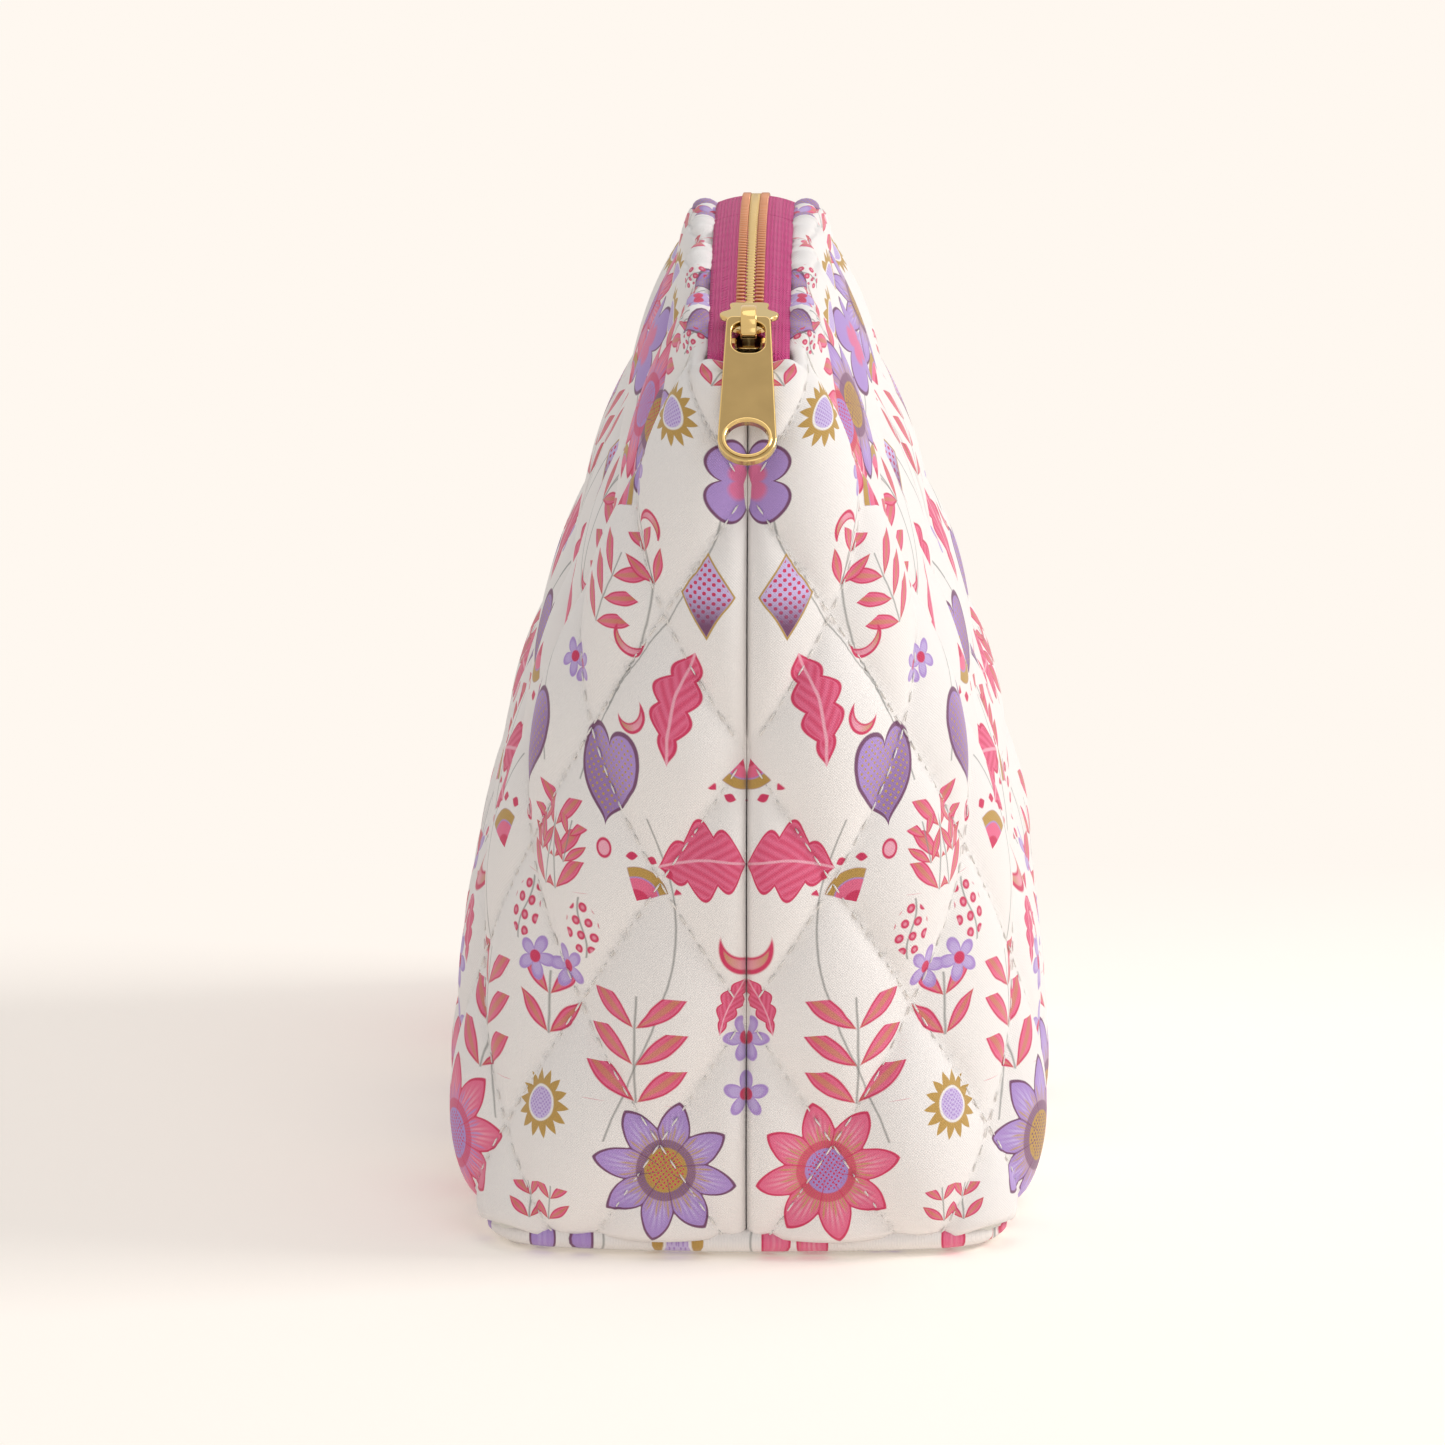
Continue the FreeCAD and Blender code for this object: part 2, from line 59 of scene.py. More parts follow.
# The bag's shape, in millimetres, as the CAD cloth has it
WIDTHS = (114.0, 170.6, 33.4, 25.0)
LENGTHS = (257.0, 265.0, 248.0, 202.0)
HEIGHT_SHARES = (0.0, 0.167, 0.938, 1.0)
END_CROWN = 6.0
CORNER_BASE, CORNER_WALL, CORNER_MOUTH = 0.25, 0.85, 0.35
CORNER_BLEND, MOUTH_BLEND = 0.3, 0.25
CREST = 208.5
ARC_RADIUS = 340.0
ARC_CENTRE = CREST - ARC_RADIUS
RIM_DROP = 1.5
FOOT = 4.4
WALL_DEPTH = 4.25           # cover, wadding and lining together

# Where the pieces of each half of the bag meet
QUARTERS = {"near": (0.0, 0.25), "far": (0.25, 0.5)}
SIDES = {"right": 1.0, "left": -1.0}


def bezier(points, share):
    """Return a cubic Bezier's value from its four handles."""
    rest = 1.0 - share
    return (points[0] * rest ** 3 + 3 * points[1] * share * rest ** 2
            + 3 * points[2] * share ** 2 * rest + points[3] * share ** 3)


def plan_sizes(rise):
    """Return the half width, half length and corner radius of the wall at a height share."""
    half_x = bezier(WIDTHS, rise) / 2
    half_y = bezier(LENGTHS, rise) / 2
    soften = np.minimum(rise / CORNER_BLEND, 1.0) ** 0.8
    sharpen = np.maximum(rise - 1.0 + MOUTH_BLEND, 0.0) / MOUTH_BLEND
    share = CORNER_BASE + (CORNER_WALL - CORNER_BASE) * soften
    share = share + (CORNER_MOUTH - CORNER_WALL) * sharpen ** 2
    return half_x, half_y, share * half_x


def quarter_length(rise):
    """Return the length round a quarter of the wall at a height share."""
    half_x, half_y, corner = plan_sizes(rise)
    return half_x - corner + math.pi / 2 * corner + half_y - corner


def wall(turn, rise, inset=0.0):
    """Return points of the right-hand wall, for arrays of turn (0 to 0.5) and rise (0 to 1)."""
    full_x, full_y, corner = plan_sizes(rise)
    half_x, half_y = full_x - inset, full_y - inset
    corner = np.maximum(corner - inset, 1.0)
    flat_end = half_x - corner
    bend = math.pi / 2 * corner
    flat_side = half_y - corner
    quarter = np.where(turn <= 0.25, 4 * turn, 4 * (0.5 - turn))
    run = quarter * (flat_end + bend + flat_side)
    angle = np.clip((run - flat_end) / corner, 0.0, math.pi / 2)
    x = np.where(run < flat_end, run, flat_end + corner * np.sin(angle))
    y = flat_side + corner * np.cos(angle) - np.maximum(run - flat_end - bend, 0.0)
    y = y * (1.0 - END_CROWN * (1.0 - rise) * (x / half_x) ** 2 / half_y)
    y = np.where(turn <= 0.25, -y, y)
    rim = ARC_CENTRE + np.sqrt((ARC_RADIUS - RIM_DROP) ** 2 - y ** 2)
    z = FOOT + (rim - FOOT) * bezier(HEIGHT_SHARES, rise)
    return np.stack([x, y, z], axis=-1)


def wall_normals(turn, rise):
    """Return the wall's outward unit normals."""
    step = 1e-4
    along = wall(turn + step, rise) - wall(turn - step, rise)
    # Across the end seams the wall is mirrored, so the step is taken on one side only.
    along = np.where((turn < step)[..., None], wall(turn + step, rise) - wall(turn, rise), along)
    along = np.where((turn > 0.5 - step)[..., None], wall(turn, rise) - wall(turn - step, rise), along)
    low, high = np.clip(rise - step, 0, 1), np.clip(rise + step, 0, 1)
    up = wall(turn, high) - wall(turn, low)
    normal = np.cross(along, up)
    return normal / np.linalg.norm(normal, axis=-1, keepdims=True)


RISES = np.linspace(0.0, 1.0, 401)
END_LINE = wall(np.zeros_like(RISES), RISES)
END_LENGTHS = np.concatenate([[0.0], np.cumsum(np.linalg.norm(np.diff(END_LINE, axis=0), axis=1))])
WALL_LENGTH = float(END_LENGTHS[-1])


def rise_of(up_mm):
    """Return the height share at a length of cloth above the base seam."""
    return np.interp(up_mm, END_LENGTHS, RISES)


class QuiltSettings(bpy.types.PropertyGroup):
    """Sizes of the quilting."""

    diamond_width: bpy.props.FloatProperty(name="Diamond width", default=0.0376, subtype="DISTANCE",
                                           description="From one stitched crossing to the next, across")
    diamond_height: bpy.props.FloatProperty(name="Diamond height", default=0.057, subtype="DISTANCE",
                                            description="From one stitched crossing to the next, up")
    crossing: bpy.props.FloatProperty(name="Crossing height", default=0.107, subtype="DISTANCE",
                                      description="Cloth length from the base seam to a crossing on the end seam")
    puff: bpy.props.FloatProperty(name="Puff", default=0.0030, subtype="DISTANCE",
                                  description="How far a diamond's middle stands out from its stitches")
    sink: bpy.props.FloatProperty(name="Sink", default=0.0011, subtype="DISTANCE",
                                  description="How deep the stitched lines lie under the cloth's mean surface")
    mesh_step: bpy.props.FloatProperty(name="Mesh step", default=0.0015, subtype="DISTANCE",
                                       description="Size of the cover's mesh faces")
    stitch_length: bpy.props.FloatProperty(name="Stitch length", default=0.0030, subtype="DISTANCE",
                                           description="Length of one quilting stitch")
    stitch_gap: bpy.props.FloatProperty(name="Stitch gap", default=0.0008, subtype="DISTANCE",
                                        description="Cloth left between two stitches")
    thread: bpy.props.FloatProperty(name="Thread", default=0.00050, subtype="DISTANCE",
                                    description="Diameter of the quilting thread")


class ClothColours(bpy.types.PropertyGroup):
    """Colours of the cloth and its print."""

    ground: bpy.props.StringProperty(name="Ground", default="F6F0EC", description="Unprinted cotton")
    raspberry: bpy.props.StringProperty(name="Raspberry", default="D63A63", description="Dark petals, berries")
    pink: bpy.props.StringProperty(name="Pink", default="EC6F92", description="Petals and leaves")
    pale_pink: bpy.props.StringProperty(name="Pale pink", default="F6AFC0", description="Leaf edges")
    lilac: bpy.props.StringProperty(name="Lilac", default="B493D3", description="Petals and hearts")
    pale_lilac: bpy.props.StringProperty(name="Pale lilac", default="D2BFE8", description="Petal tips")
    gold: bpy.props.StringProperty(name="Gold", default="C29A50", description="Suns, fans and dots")
    stem: bpy.props.StringProperty(name="Stem", default="8A8A86", description="Thin vines")
    plum: bpy.props.StringProperty(name="Plum", default="7A4C6E", description="Heart rims")
    tape: bpy.props.StringProperty(name="Zip tape", default="DC2F86", description="Magenta tape")


def srgb(text):
    """Return a linear colour from a hex sRGB value."""
    channels = [int(text[i:i + 2], 16) / 255 for i in (0, 2, 4)]
    return tuple(c / 12.92 if c <= 0.04045 else ((c + 0.055) / 1.055) ** 2.4 for c in channels) + (1.0,)


def add(tree, kind, *inputs, **settings):
    """Add a node with its settings and links, and return its first output."""
    node = tree.nodes.new("ShaderNode" + kind)
    for name, value in settings.items():
        setattr(node, name, value)
    for socket, value in zip(node.inputs, inputs):
        if isinstance(value, Field):
            value = value.socket
        if isinstance(value, bpy.types.NodeSocket):
            tree.links.new(value, socket)
        elif value is not None:
            socket.default_value = value
    return node.outputs[0]


class Field:
    """A number that varies over the cloth, written with plain arithmetic."""

    def __init__(self, tree, socket):
        self.tree = tree
        self.socket = socket

    def work(self, operation, other=0.0, third=0.0, first=None, clamp=False):
        """Return a new field from one Math step."""
        start = self if first is None else first
        socket = add(self.tree, "Math", start, other, third, operation=operation, use_clamp=clamp)
        return Field(self.tree, socket)

    def __add__(self, other):
        return self.work("ADD", other)

    def __radd__(self, other):
        return self.work("ADD", other)

    def __sub__(self, other):
        return self.work("SUBTRACT", other)

    def __rsub__(self, other):
        return self.work("SUBTRACT", self, first=other)

    def __mul__(self, other):
        return self.work("MULTIPLY", other)

    def __rmul__(self, other):
        return self.work("MULTIPLY", other)

    def __truediv__(self, other):
        return self.work("DIVIDE", other)

    def ink(self, soft=0.28):
        """Return 1 where this distance, in millimetres, is below zero, with a soft edge."""
        return (self * (-1.0 / soft)).work("ADD", 0.5, clamp=True)


def place(u, v, spots):
    """Return local coordinates about the spot whose band of cloth height holds the point.

    Each spot is (lowest height of its band, across, up, turn in degrees, scale).
    """
    tree = u.tree
    across_range, up_range = 60.0, 240.0
    ramp_out = add(tree, "ValToRGB", v / up_range)
    ramp = ramp_out.node.color_ramp
    ramp.interpolation = "CONSTANT"
    while len(ramp.elements) < len(spots):
        ramp.elements.new(0.5 + 0.01 * len(ramp.elements))
    while len(ramp.elements) > len(spots):
        ramp.elements.remove(ramp.elements[-1])
    for element, (low, across, up, turn, scale) in zip(ramp.elements, spots):
        element.position = low / up_range
        element.color = (across / across_range, up / up_range, (turn % 360) / 360, scale / 2)
    parts = add(tree, "SeparateColor", ramp_out).node.outputs
    scale = Field(tree, ramp_out.node.outputs[1]) * 2.0
    du = (u - Field(tree, parts[0]) * across_range) / scale
    dv = (v - Field(tree, parts[1]) * up_range) / scale
    angle = Field(tree, parts[2]) * (2 * math.pi)
    cos, sin = angle.work("COSINE"), angle.work("SINE")
    return du * cos + dv * sin, dv * cos - du * sin


def polar(x, y):
    """Return the distance from the middle and the angle round it."""
    return (x * x + y * y).work("SQRT"), y.work("ARCTAN2", x)


def petal_edge(angle, count, radius, depth, power=1.0):
    """Return the outline radius of a ring of petals, and how near a petal's side each angle is."""
    side = (angle * (count / math.pi)).work("PINGPONG", 1.0)
    return (1.0 - side.work("POWER", power) * depth) * radius, side


def flower(x, y, radius, petal, dark, tip, heart):
    """Return the layers of a large pointed flower."""
    r, angle = polar(x, y)
    edge, side = petal_edge(angle, 8, radius, 0.40, 1.25)
    veins = (angle * 64.0).work("SINE") * 0.5 + 0.5
    fade = (1.0 - r / radius).work("ADD", 0.0, clamp=True)
    rays = petal_edge(angle, 24, radius * 0.66, 0.35)[0]
    dots = ((x * 5.2).work("SINE") * (y * 5.2).work("SINE")) * 0.5
    return [((r - edge).ink(), dark), ((r - edge + 0.75).ink(), petal),
            ((r - edge + 3.2).ink(3.5) * veins * 0.75, tip),
            ((r - rays).ink(1.2) * veins * 0.8, "gold"),
            ((r - radius * 0.43).ink() * (0.45 + 0.4 * fade), dark),
            ((r - radius * 0.31).ink(), heart),
            ((r - radius * 0.27).ink() * (dots - 0.12).work("MULTIPLY", 6.0, clamp=True), "raspberry"),
            ((side - 0.9).work("MULTIPLY", 9.0, clamp=True) * (r - radius * 0.62).ink(), dark)]


def sun(x, y, radius):
    """Return the layers of a gold rayed ring with a lilac middle."""
    r, angle = polar(x, y)
    edge = petal_edge(angle, 14, radius, 0.34)[0]
    dots = (x * 6.3).work("SINE") * (y * 6.3).work("SINE")
    return [((r - edge).ink(), "gold"), ((r - radius * 0.52).ink(), "ground"),
            ((r - radius * 0.45).ink(), "pale_lilac"),
            ((r - radius * 0.43).ink() * (dots - 0.1).work("MULTIPLY", 4.0, clamp=True), "lilac")]


def blossom(x, y, radius, petal, heart):
    """Return the layers of a small five-petalled blossom."""
    r, angle = polar(x, y)
    edge = petal_edge(angle, 5, radius, 0.62, 1.8)[0]
    return [((r - edge).ink(), petal), ((r - edge + 0.9).ink(0.8) * 0.6, "pale_lilac"),
            ((r - radius * 0.27).ink(), heart)]


def leaf_row(x, y, length, width, lean_deg, gap, first, last):
    """Return the layers of a stem along +Y with pairs of narrow leaves that lean outwards."""
    lean = math.radians(lean_deg)
    out = x.work("ABSOLUTE")
    step = (y - first).work("FLOORED_MODULO", gap)
    within = (first - y).ink() * (y - last).ink()
    along = (out * math.cos(lean) + step * math.sin(lean)) / length
    across = (step * math.cos(lean) - out * math.sin(lean)).work("ABSOLUTE")
    share = along.work("ADD", 0.0, clamp=True)
    half = (share * math.pi).work("SINE") * width - 0.2
    body = (across - half).ink() * within
    shade = (share - 0.35).work("MULTIPLY", 1.6, clamp=True)
    stem = (out - 0.25).ink(0.4) * within
    return [(stem * 0.8, "stem"), (body, "raspberry"), ((across - half + 0.45).ink() * within, "pink"),
            ((across - half + 0.8).ink() * shade * within, "raspberry"),
            ((across - half * 0.30).ink(0.4) * within * body * 0.5, "gold")]


def heart(x, y, radius):
    """Return the layers of a dotted heart-shaped fruit with a small bud under it."""
    lift = (x.work("ABSOLUTE") * (radius * 0.55)).work("SQRT")
    r = (x * x + (y - lift) * (y - lift)).work("SQRT")
    dots = (x * 3.6).work("SINE") * (y * 3.6).work("SINE")
    shade = ((x - y * 0.6) / radius).work("MULTIPLY_ADD", 0.35, 0.3)
    bud_x, bud_y = x.work("ABSOLUTE"), y + radius * 1.5
    bud = (bud_x * bud_x * 1.6 + bud_y * bud_y).work("SQRT") - radius * 0.24
    return [((r - radius).ink(), "plum"), ((r - radius + 0.9).ink(), "lilac"),
            ((r - radius + 1.0).ink() * shade.work("ADD", 0.0, clamp=True), "plum"),
            ((r - radius + 1.4).ink() * (dots - 0.45).work("MULTIPLY", 5.0, clamp=True), "gold"),
            (bud.ink(), "raspberry"), ((bud + 0.6).ink(), "pale_pink")]


def berries(x, y, radius):
    """Return the layers of a bunch of round berries, narrower at its top."""
    gap = 3.1
    row = (y / gap).work("FLOOR")
    shift = (row * 0.5).work("FRACT") * gap + (row * 2.4).work("SINE") * 0.5
    bx = (x + shift).work("FLOORED_MODULO", gap) - gap / 2
    by = y.work("FLOORED_MODULO", gap) - gap / 2
    r = (bx * bx + by * by).work("SQRT")
    bunch = (x * x * 2.0 + y * y).work("SQRT") - radius
    stem = ((x - (y * 0.4).work("SINE")).work("ABSOLUTE") - 0.22).ink() * bunch.ink()
    return [(stem * 0.8, "stem"), ((r - 1.0).ink() * (bunch + 0.8).ink(), "raspberry"),
            ((r - 0.4).ink(0.5) * (bunch + 0.8).ink() * 0.7, "pale_pink")]


def frilled_leaf(x, y, length, width, lobes, fill, dark):
    """Return the layers of a broad leaf along +Y with a scalloped edge."""
    share = (y / length).work("ADD", 0.0, clamp=True)
    bend = x + (share * math.pi).work("SINE") * 1.6
    lobe = (share * (lobes * math.pi)).work("SINE").work("ABSOLUTE")
    half = (share.work("POWER", 0.8) * math.pi).work("SINE") * (lobe * 0.38 + 0.62) * width - 0.25
    out = bend.work("ABSOLUTE")
    ribs = ((y * 1.0 + out * 1.6) * 1.9).work("SINE") * 0.5 + 0.5
    return [((out - half).ink(), dark), ((out - half + 0.7).ink(), fill),
            ((out - half + 1.0).ink() * ribs * 0.65, dark), ((out - 0.28).ink() * (out - half).ink(), "pale_pink")]


def crescent(x, y, radius):
    """Return the layers of a curled crescent."""
    r = (x * x + y * y).work("SQRT")
    cut_y = y - radius * 0.55
    bite = (x * x + cut_y * cut_y).work("SQRT")
    body = (r - radius).ink() * (radius * 0.92 - bite).ink()
    inner = (r - radius + 0.7).ink() * (radius * 1.02 - bite).ink()
    return [(body, "raspberry"), (inner * (0.5 - y / radius * 0.5).work("ADD", 0.0, clamp=True), "pale_pink"),
            (inner * (x / radius).work("ADD", 0.0, clamp=True), "gold")]


def fan(x, y, radius):
    """Return the layers of a striped bud that opens upwards into a row of dots."""
    r, angle = polar(x, y)
    spread = (angle - math.pi / 2).work("ABSOLUTE")
    cup = (r - radius).ink() * (spread * radius * 0.8 - radius * 0.62).ink()
    beads = (angle * 13.0).work("COSINE") * 0.75 + 0.15
    row = (r - radius * 1.32).work("ABSOLUTE")
    arc = (spread * radius - radius * 0.85).ink()
    return [(cup, "lilac"), (cup * (r - radius * 0.68).ink(), "pink"),
            (cup * (radius * 0.72 - r).ink() * 1.0, "gold"), (cup * (r - radius * 0.35).ink(), "raspberry"),
            ((row - beads).ink() * arc, "raspberry")]


def dotted_wedge(x, y, radius):
    """Return the layers of a wedge filled with berries."""
    edge = x.work("ABSOLUTE") * 1.25 + y.work("ABSOLUTE") * 0.8 - radius
    side = (x * 3.1).work("SINE") * (y * 3.1).work("SINE")
    return [(edge.ink(), "gold"), ((edge + 0.6).ink(), "pale_lilac"),
            ((edge + 1.0).ink() * (side - 0.25).work("MULTIPLY", 6.0, clamp=True), "raspberry"),
            ((edge + 0.6).ink() * (y * -0.14).work("ADD", 0.1, clamp=True), "plum")]


def vine(u, v, middle, swing, wave, phase, low, high):
    """Return the layer of one thin wavy stem."""
    path = (v * wave + phase).work("SINE") * swing + middle
    line = ((u - path).work("ABSOLUTE") - 0.22).ink(0.35)
    return [(line * (low - v).ink() * (v - high).ink() * 0.75, "stem")]


def print_colour(tree, colours, swap):
    """Return the printed cloth's colour, from a UV map that holds the cloth's flat lengths in metres."""
    uv = add(tree, "UVMap", uv_map="Cloth")
    parts = add(tree, "SeparateXYZ", uv).node.outputs
    u_mm = Field(tree, parts[0]) / MM
    v_mm = Field(tree, parts[1]) / MM
    wobble = add(tree, "TexNoise", None, None, 90.0, 2.0)
    tree.links.new(uv, wobble.node.inputs[0])
    sway = (Field(tree, wobble) - 0.5) * 1.1
    u_all = u_mm + sway
    v = v_mm + sway
    repeat = 45.0
    u = u_all.work("PINGPONG", repeat)
    cell = (u_all / (2 * repeat)).work("ROUND")
    odd = (cell * 0.5).work("FRACT") * 2.0
    # Alternate repeats change the flowers' colours
    lilac_first = ("lilac", "plum", "pale_lilac", "gold")
    pink_first = ("pink", "raspberry", "pale_pink", "lilac")
    if not swap:
        lilac_first, pink_first = pink_first, lilac_first

    layers = []
    layers += vine(u, v, 24.0, 9.0, 0.052, 1.2, 22.0, 92.0)
    layers += vine(u, v, 22.0, 17.0, 0.043, 3.9, 96.0, 176.0)
    layers += vine(u, v, 30.0, 8.0, 0.075, 0.6, 112.0, 205.0)
    x, y = place(u, v, [(0, 24, 30, 2, 1.0), (70, 43, 72, 352, 0.8), (104, 36, 128, 20, 0.7), (168, 40, 176, 10, 0.8)])
    layers += leaf_row(x, y, 16.5, 2.3, 40.0, 8.0, 0.5, 24.0)
    x, y = place(u, v, [(0, 43, 3, 8, 0.6), (16, 45, 41, 0, 1.0), (70, 41, 78, 10, 0.7), (126, 21, 140, 335, 0.8),
                        (160, 8, 186, 25, 0.7)])
    layers += leaf_row(x, y, 11.0, 1.8, 48.0, 8.0, 1.0, 14.0)
    x, y = place(u, v, [(0, 45, 28, 0, 1.0), (100, 17.6, 177, 0, 0.95)])
    layers += sun(x, y, 7.2)
    x, y = place(u, v, [(0, 0, 33, 18, 1.15), (39, 0, 45, 0, 1.15), (51, 41, 57, 0, 1.1), (90, 43, 118, 0, 0.9),
                        (150, 30, 160, 12, 1.0), (186, 44, 196, 0, 1.0)])
    layers += blossom(x, y, 4.4, "lilac", "raspberry")
    x, y = place(u, v, [(0, 31, 97, 0, 1.0), (140, 31, 196, 0, 0.8)])
    layers += heart(x, y, 8.6)
    x, y = place(u, v, [(0, 36, 66, 0, 1.0), (165, 26, 192, 0, 0.8)])
    layers += berries(x, y, 6.5)
    x, y = place(u, v, [(0, -1.0, 58, 205, 0.55), (70, 11, 129, 192, 1.05), (133, 45, 152, 350, 0.9), (170, 12, 200, 340, 0.8)])
    layers += frilled_leaf(x, y, 25.0, 5.4, 4, "pink", "raspberry")
    x, y = place(u, v, [(0, 0, 83.5, 264, 1.0), (101, 0, 230, 0, 0.9)])
    layers += frilled_leaf(x, y, 19.5, 9.5, 3, "pink", "raspberry")
    x, y = place(u, v, [(0, 0, 65, 0, 1.6), (72, 25, 113, 330, 1.0), (121.5, 27, 128, 20, 0.9), (150, 22, 152, 200, 0.9)])
    layers += crescent(x, y, 3.8)
    x, y = place(u, v, [(0, 24, 74, 28, 1.0), (91, 0, 107, 180, 1.05), (124, 38, 150, 20, 0.9), (180, 21, 207, 0, 0.9)])
    layers += fan(x, y, 7.2)
    x, y = place(u, v, [(0, 8.5, 141, 0, 1.0)])
    layers += dotted_wedge(x, y, 7.5)
    x, y = place(u, v, [(0, 0, 166, 0, 1.0)])
    r, angle = polar(x, y)
    edge = petal_edge(angle + math.pi / 4, 4, 10.5, 0.42, 3.0)[0]
    layers += [((r - edge).ink(), "plum"), ((r - edge + 0.7).ink(), "lilac"),
               ((r - edge * 0.45).ink(1.2) * 0.8, "pink")]

    ground = tree_colour(tree, colours, "ground")
    colour = ground
    for mask, name in layers:
        colour = add(tree, "MixRGB", mask, colour, tree_colour(tree, colours, name))
    x, y = place(u, v, [(0, 17.4, 15.8, 11, 1.0), (132, 41, 166, 5, 0.9)])
    first = flower(x, y, 15.6, *lilac_first)
    for mask, name in first:
        other = name
        if name in lilac_first:
            other = pink_first[lilac_first.index(name)]
        both = add(tree, "MixRGB", odd, tree_colour(tree, colours, name), tree_colour(tree, colours, other))
        colour = add(tree, "MixRGB", mask, colour, both)
    return colour, u_mm, v_mm


def tree_colour(tree, colours, name):
    """Return a palette colour as a value for a node's socket."""
    return srgb(getattr(colours, name))


def shader(name):
    """Return a new material, its node tree and its Principled shader."""
    material = bpy.data.materials.new(name)
    material.use_nodes = True
    tree = material.node_tree
    return material, tree, tree.nodes["Principled BSDF"]


def cotton_print(side):
    """Plain-woven quilting cotton, pigment printed: matt, a little fuzzy, the threads just visible."""
    colours = bpy.context.scene.bag_colours
    material, tree, surface = shader("cotton_plain_weave_printed_" + side)
    colour, u_mm, v_mm = print_colour(tree, colours, side == "left")
    # Threads are drawn at 0.62 mm, about twice the real spacing, so that they show.
    thread = 2 * math.pi / 0.62
    weave = (u_mm * thread).work("SINE") * (v_mm * thread).work("SINE")
    grain = Field(tree, add(tree, "TexNoise", None, None, 900.0, 3.0))
    tone = (weave * 0.03 + grain * 0.10 + 0.92).work("MINIMUM", 1.0)
    shade = add(tree, "CombineColor", tone, tone, tone)
    colour = add(tree, "MixRGB", 1.0, colour, shade, blend_type="MULTIPLY")
    tree.links.new(colour, surface.inputs["Base Color"])
    surface.inputs["Roughness"].default_value = 0.88
    surface.inputs["Sheen Weight"].default_value = 0.25
    surface.inputs["Sheen Roughness"].default_value = 0.5
    bump = tree.nodes.new("ShaderNodeBump")
    bump.inputs["Strength"].default_value = 0.35
    bump.inputs["Distance"].default_value = 0.00012
    tree.links.new((weave + grain).socket, bump.inputs["Height"])
    tree.links.new(bump.outputs[0], surface.inputs["Normal"])
    return material


def plain_cloth(name, hex_colour, thread_mm, fuzz=0.2):
    """Unprinted woven or needled cotton: matt, with its threads as a fine grain in object space."""
    material, tree, surface = shader(name)
    parts = add(tree, "SeparateXYZ", add(tree, "TexCoord").node.outputs["Object"]).node.outputs
    turn = 2 * math.pi / (thread_mm * MM)
    weave = ((Field(tree, parts[0]) + Field(tree, parts[1])) * turn).work("SINE")
    weave = weave * (Field(tree, parts[2]) * turn).work("SINE")
    grain = Field(tree, add(tree, "TexNoise", add(tree, "TexCoord").node.outputs["Object"], None, 700.0, 3.0))
    base = srgb(hex_colour)
    dark = tuple(c * 0.82 for c in base[:3]) + (1.0,)
    colour = add(tree, "MixRGB", (weave * 0.25 + grain).work("MULTIPLY", 0.7, clamp=True), base, dark)
    tree.links.new(colour, surface.inputs["Base Color"])
    surface.inputs["Roughness"].default_value = 0.9
    surface.inputs["Sheen Weight"].default_value = fuzz
    bump = tree.nodes.new("ShaderNodeBump")
    bump.inputs["Strength"].default_value = 0.4
    bump.inputs["Distance"].default_value = 0.00015
    tree.links.new((weave + grain).socket, bump.inputs["Height"])
    tree.links.new(bump.outputs[0], surface.inputs["Normal"])
    return material


def tape_cloth():
    """Woven polyester zip tape, a herringbone twill: softly shiny, its ribs slanting from each edge."""
    colours = bpy.context.scene.bag_colours
    material, tree, surface = shader("polyester_herringbone_tape")
    uv = add(tree, "UVMap", uv_map="Cloth")
    parts = add(tree, "SeparateXYZ", uv).node.outputs
    across = Field(tree, parts[0]) / MM
    along = Field(tree, parts[1]) / MM
    # Ribs 0.9 mm apart; a real tape's are about half that.
    ribs = ((across.work("PINGPONG", 1.6) * 1.2 + along) * (2 * math.pi / 0.9)).work("SINE")
    cord = (across * (2 * math.pi / 0.8)).work("SINE")
    height = ribs * 0.6 + cord * 0.4
    base = srgb(colours.tape)
    dark = tuple(c * 0.55 for c in base[:3]) + (1.0,)
    # The grooves between the ribs and cords are painted darker: painted shade that follows the bump's height.
    colour = add(tree, "MixRGB", (height * -0.35).work("ADD", 0.28, clamp=True), base, dark)
    tree.links.new(colour, surface.inputs["Base Color"])
    surface.inputs["Roughness"].default_value = 0.62
    surface.inputs["Sheen Weight"].default_value = 0.12
    bump = tree.nodes.new("ShaderNodeBump")
    bump.inputs["Strength"].default_value = 0.8
    bump.inputs["Distance"].default_value = 0.0003
    tree.links.new(height.socket, bump.inputs["Height"])
    tree.links.new(bump.outputs[0], surface.inputs["Normal"])
    return material


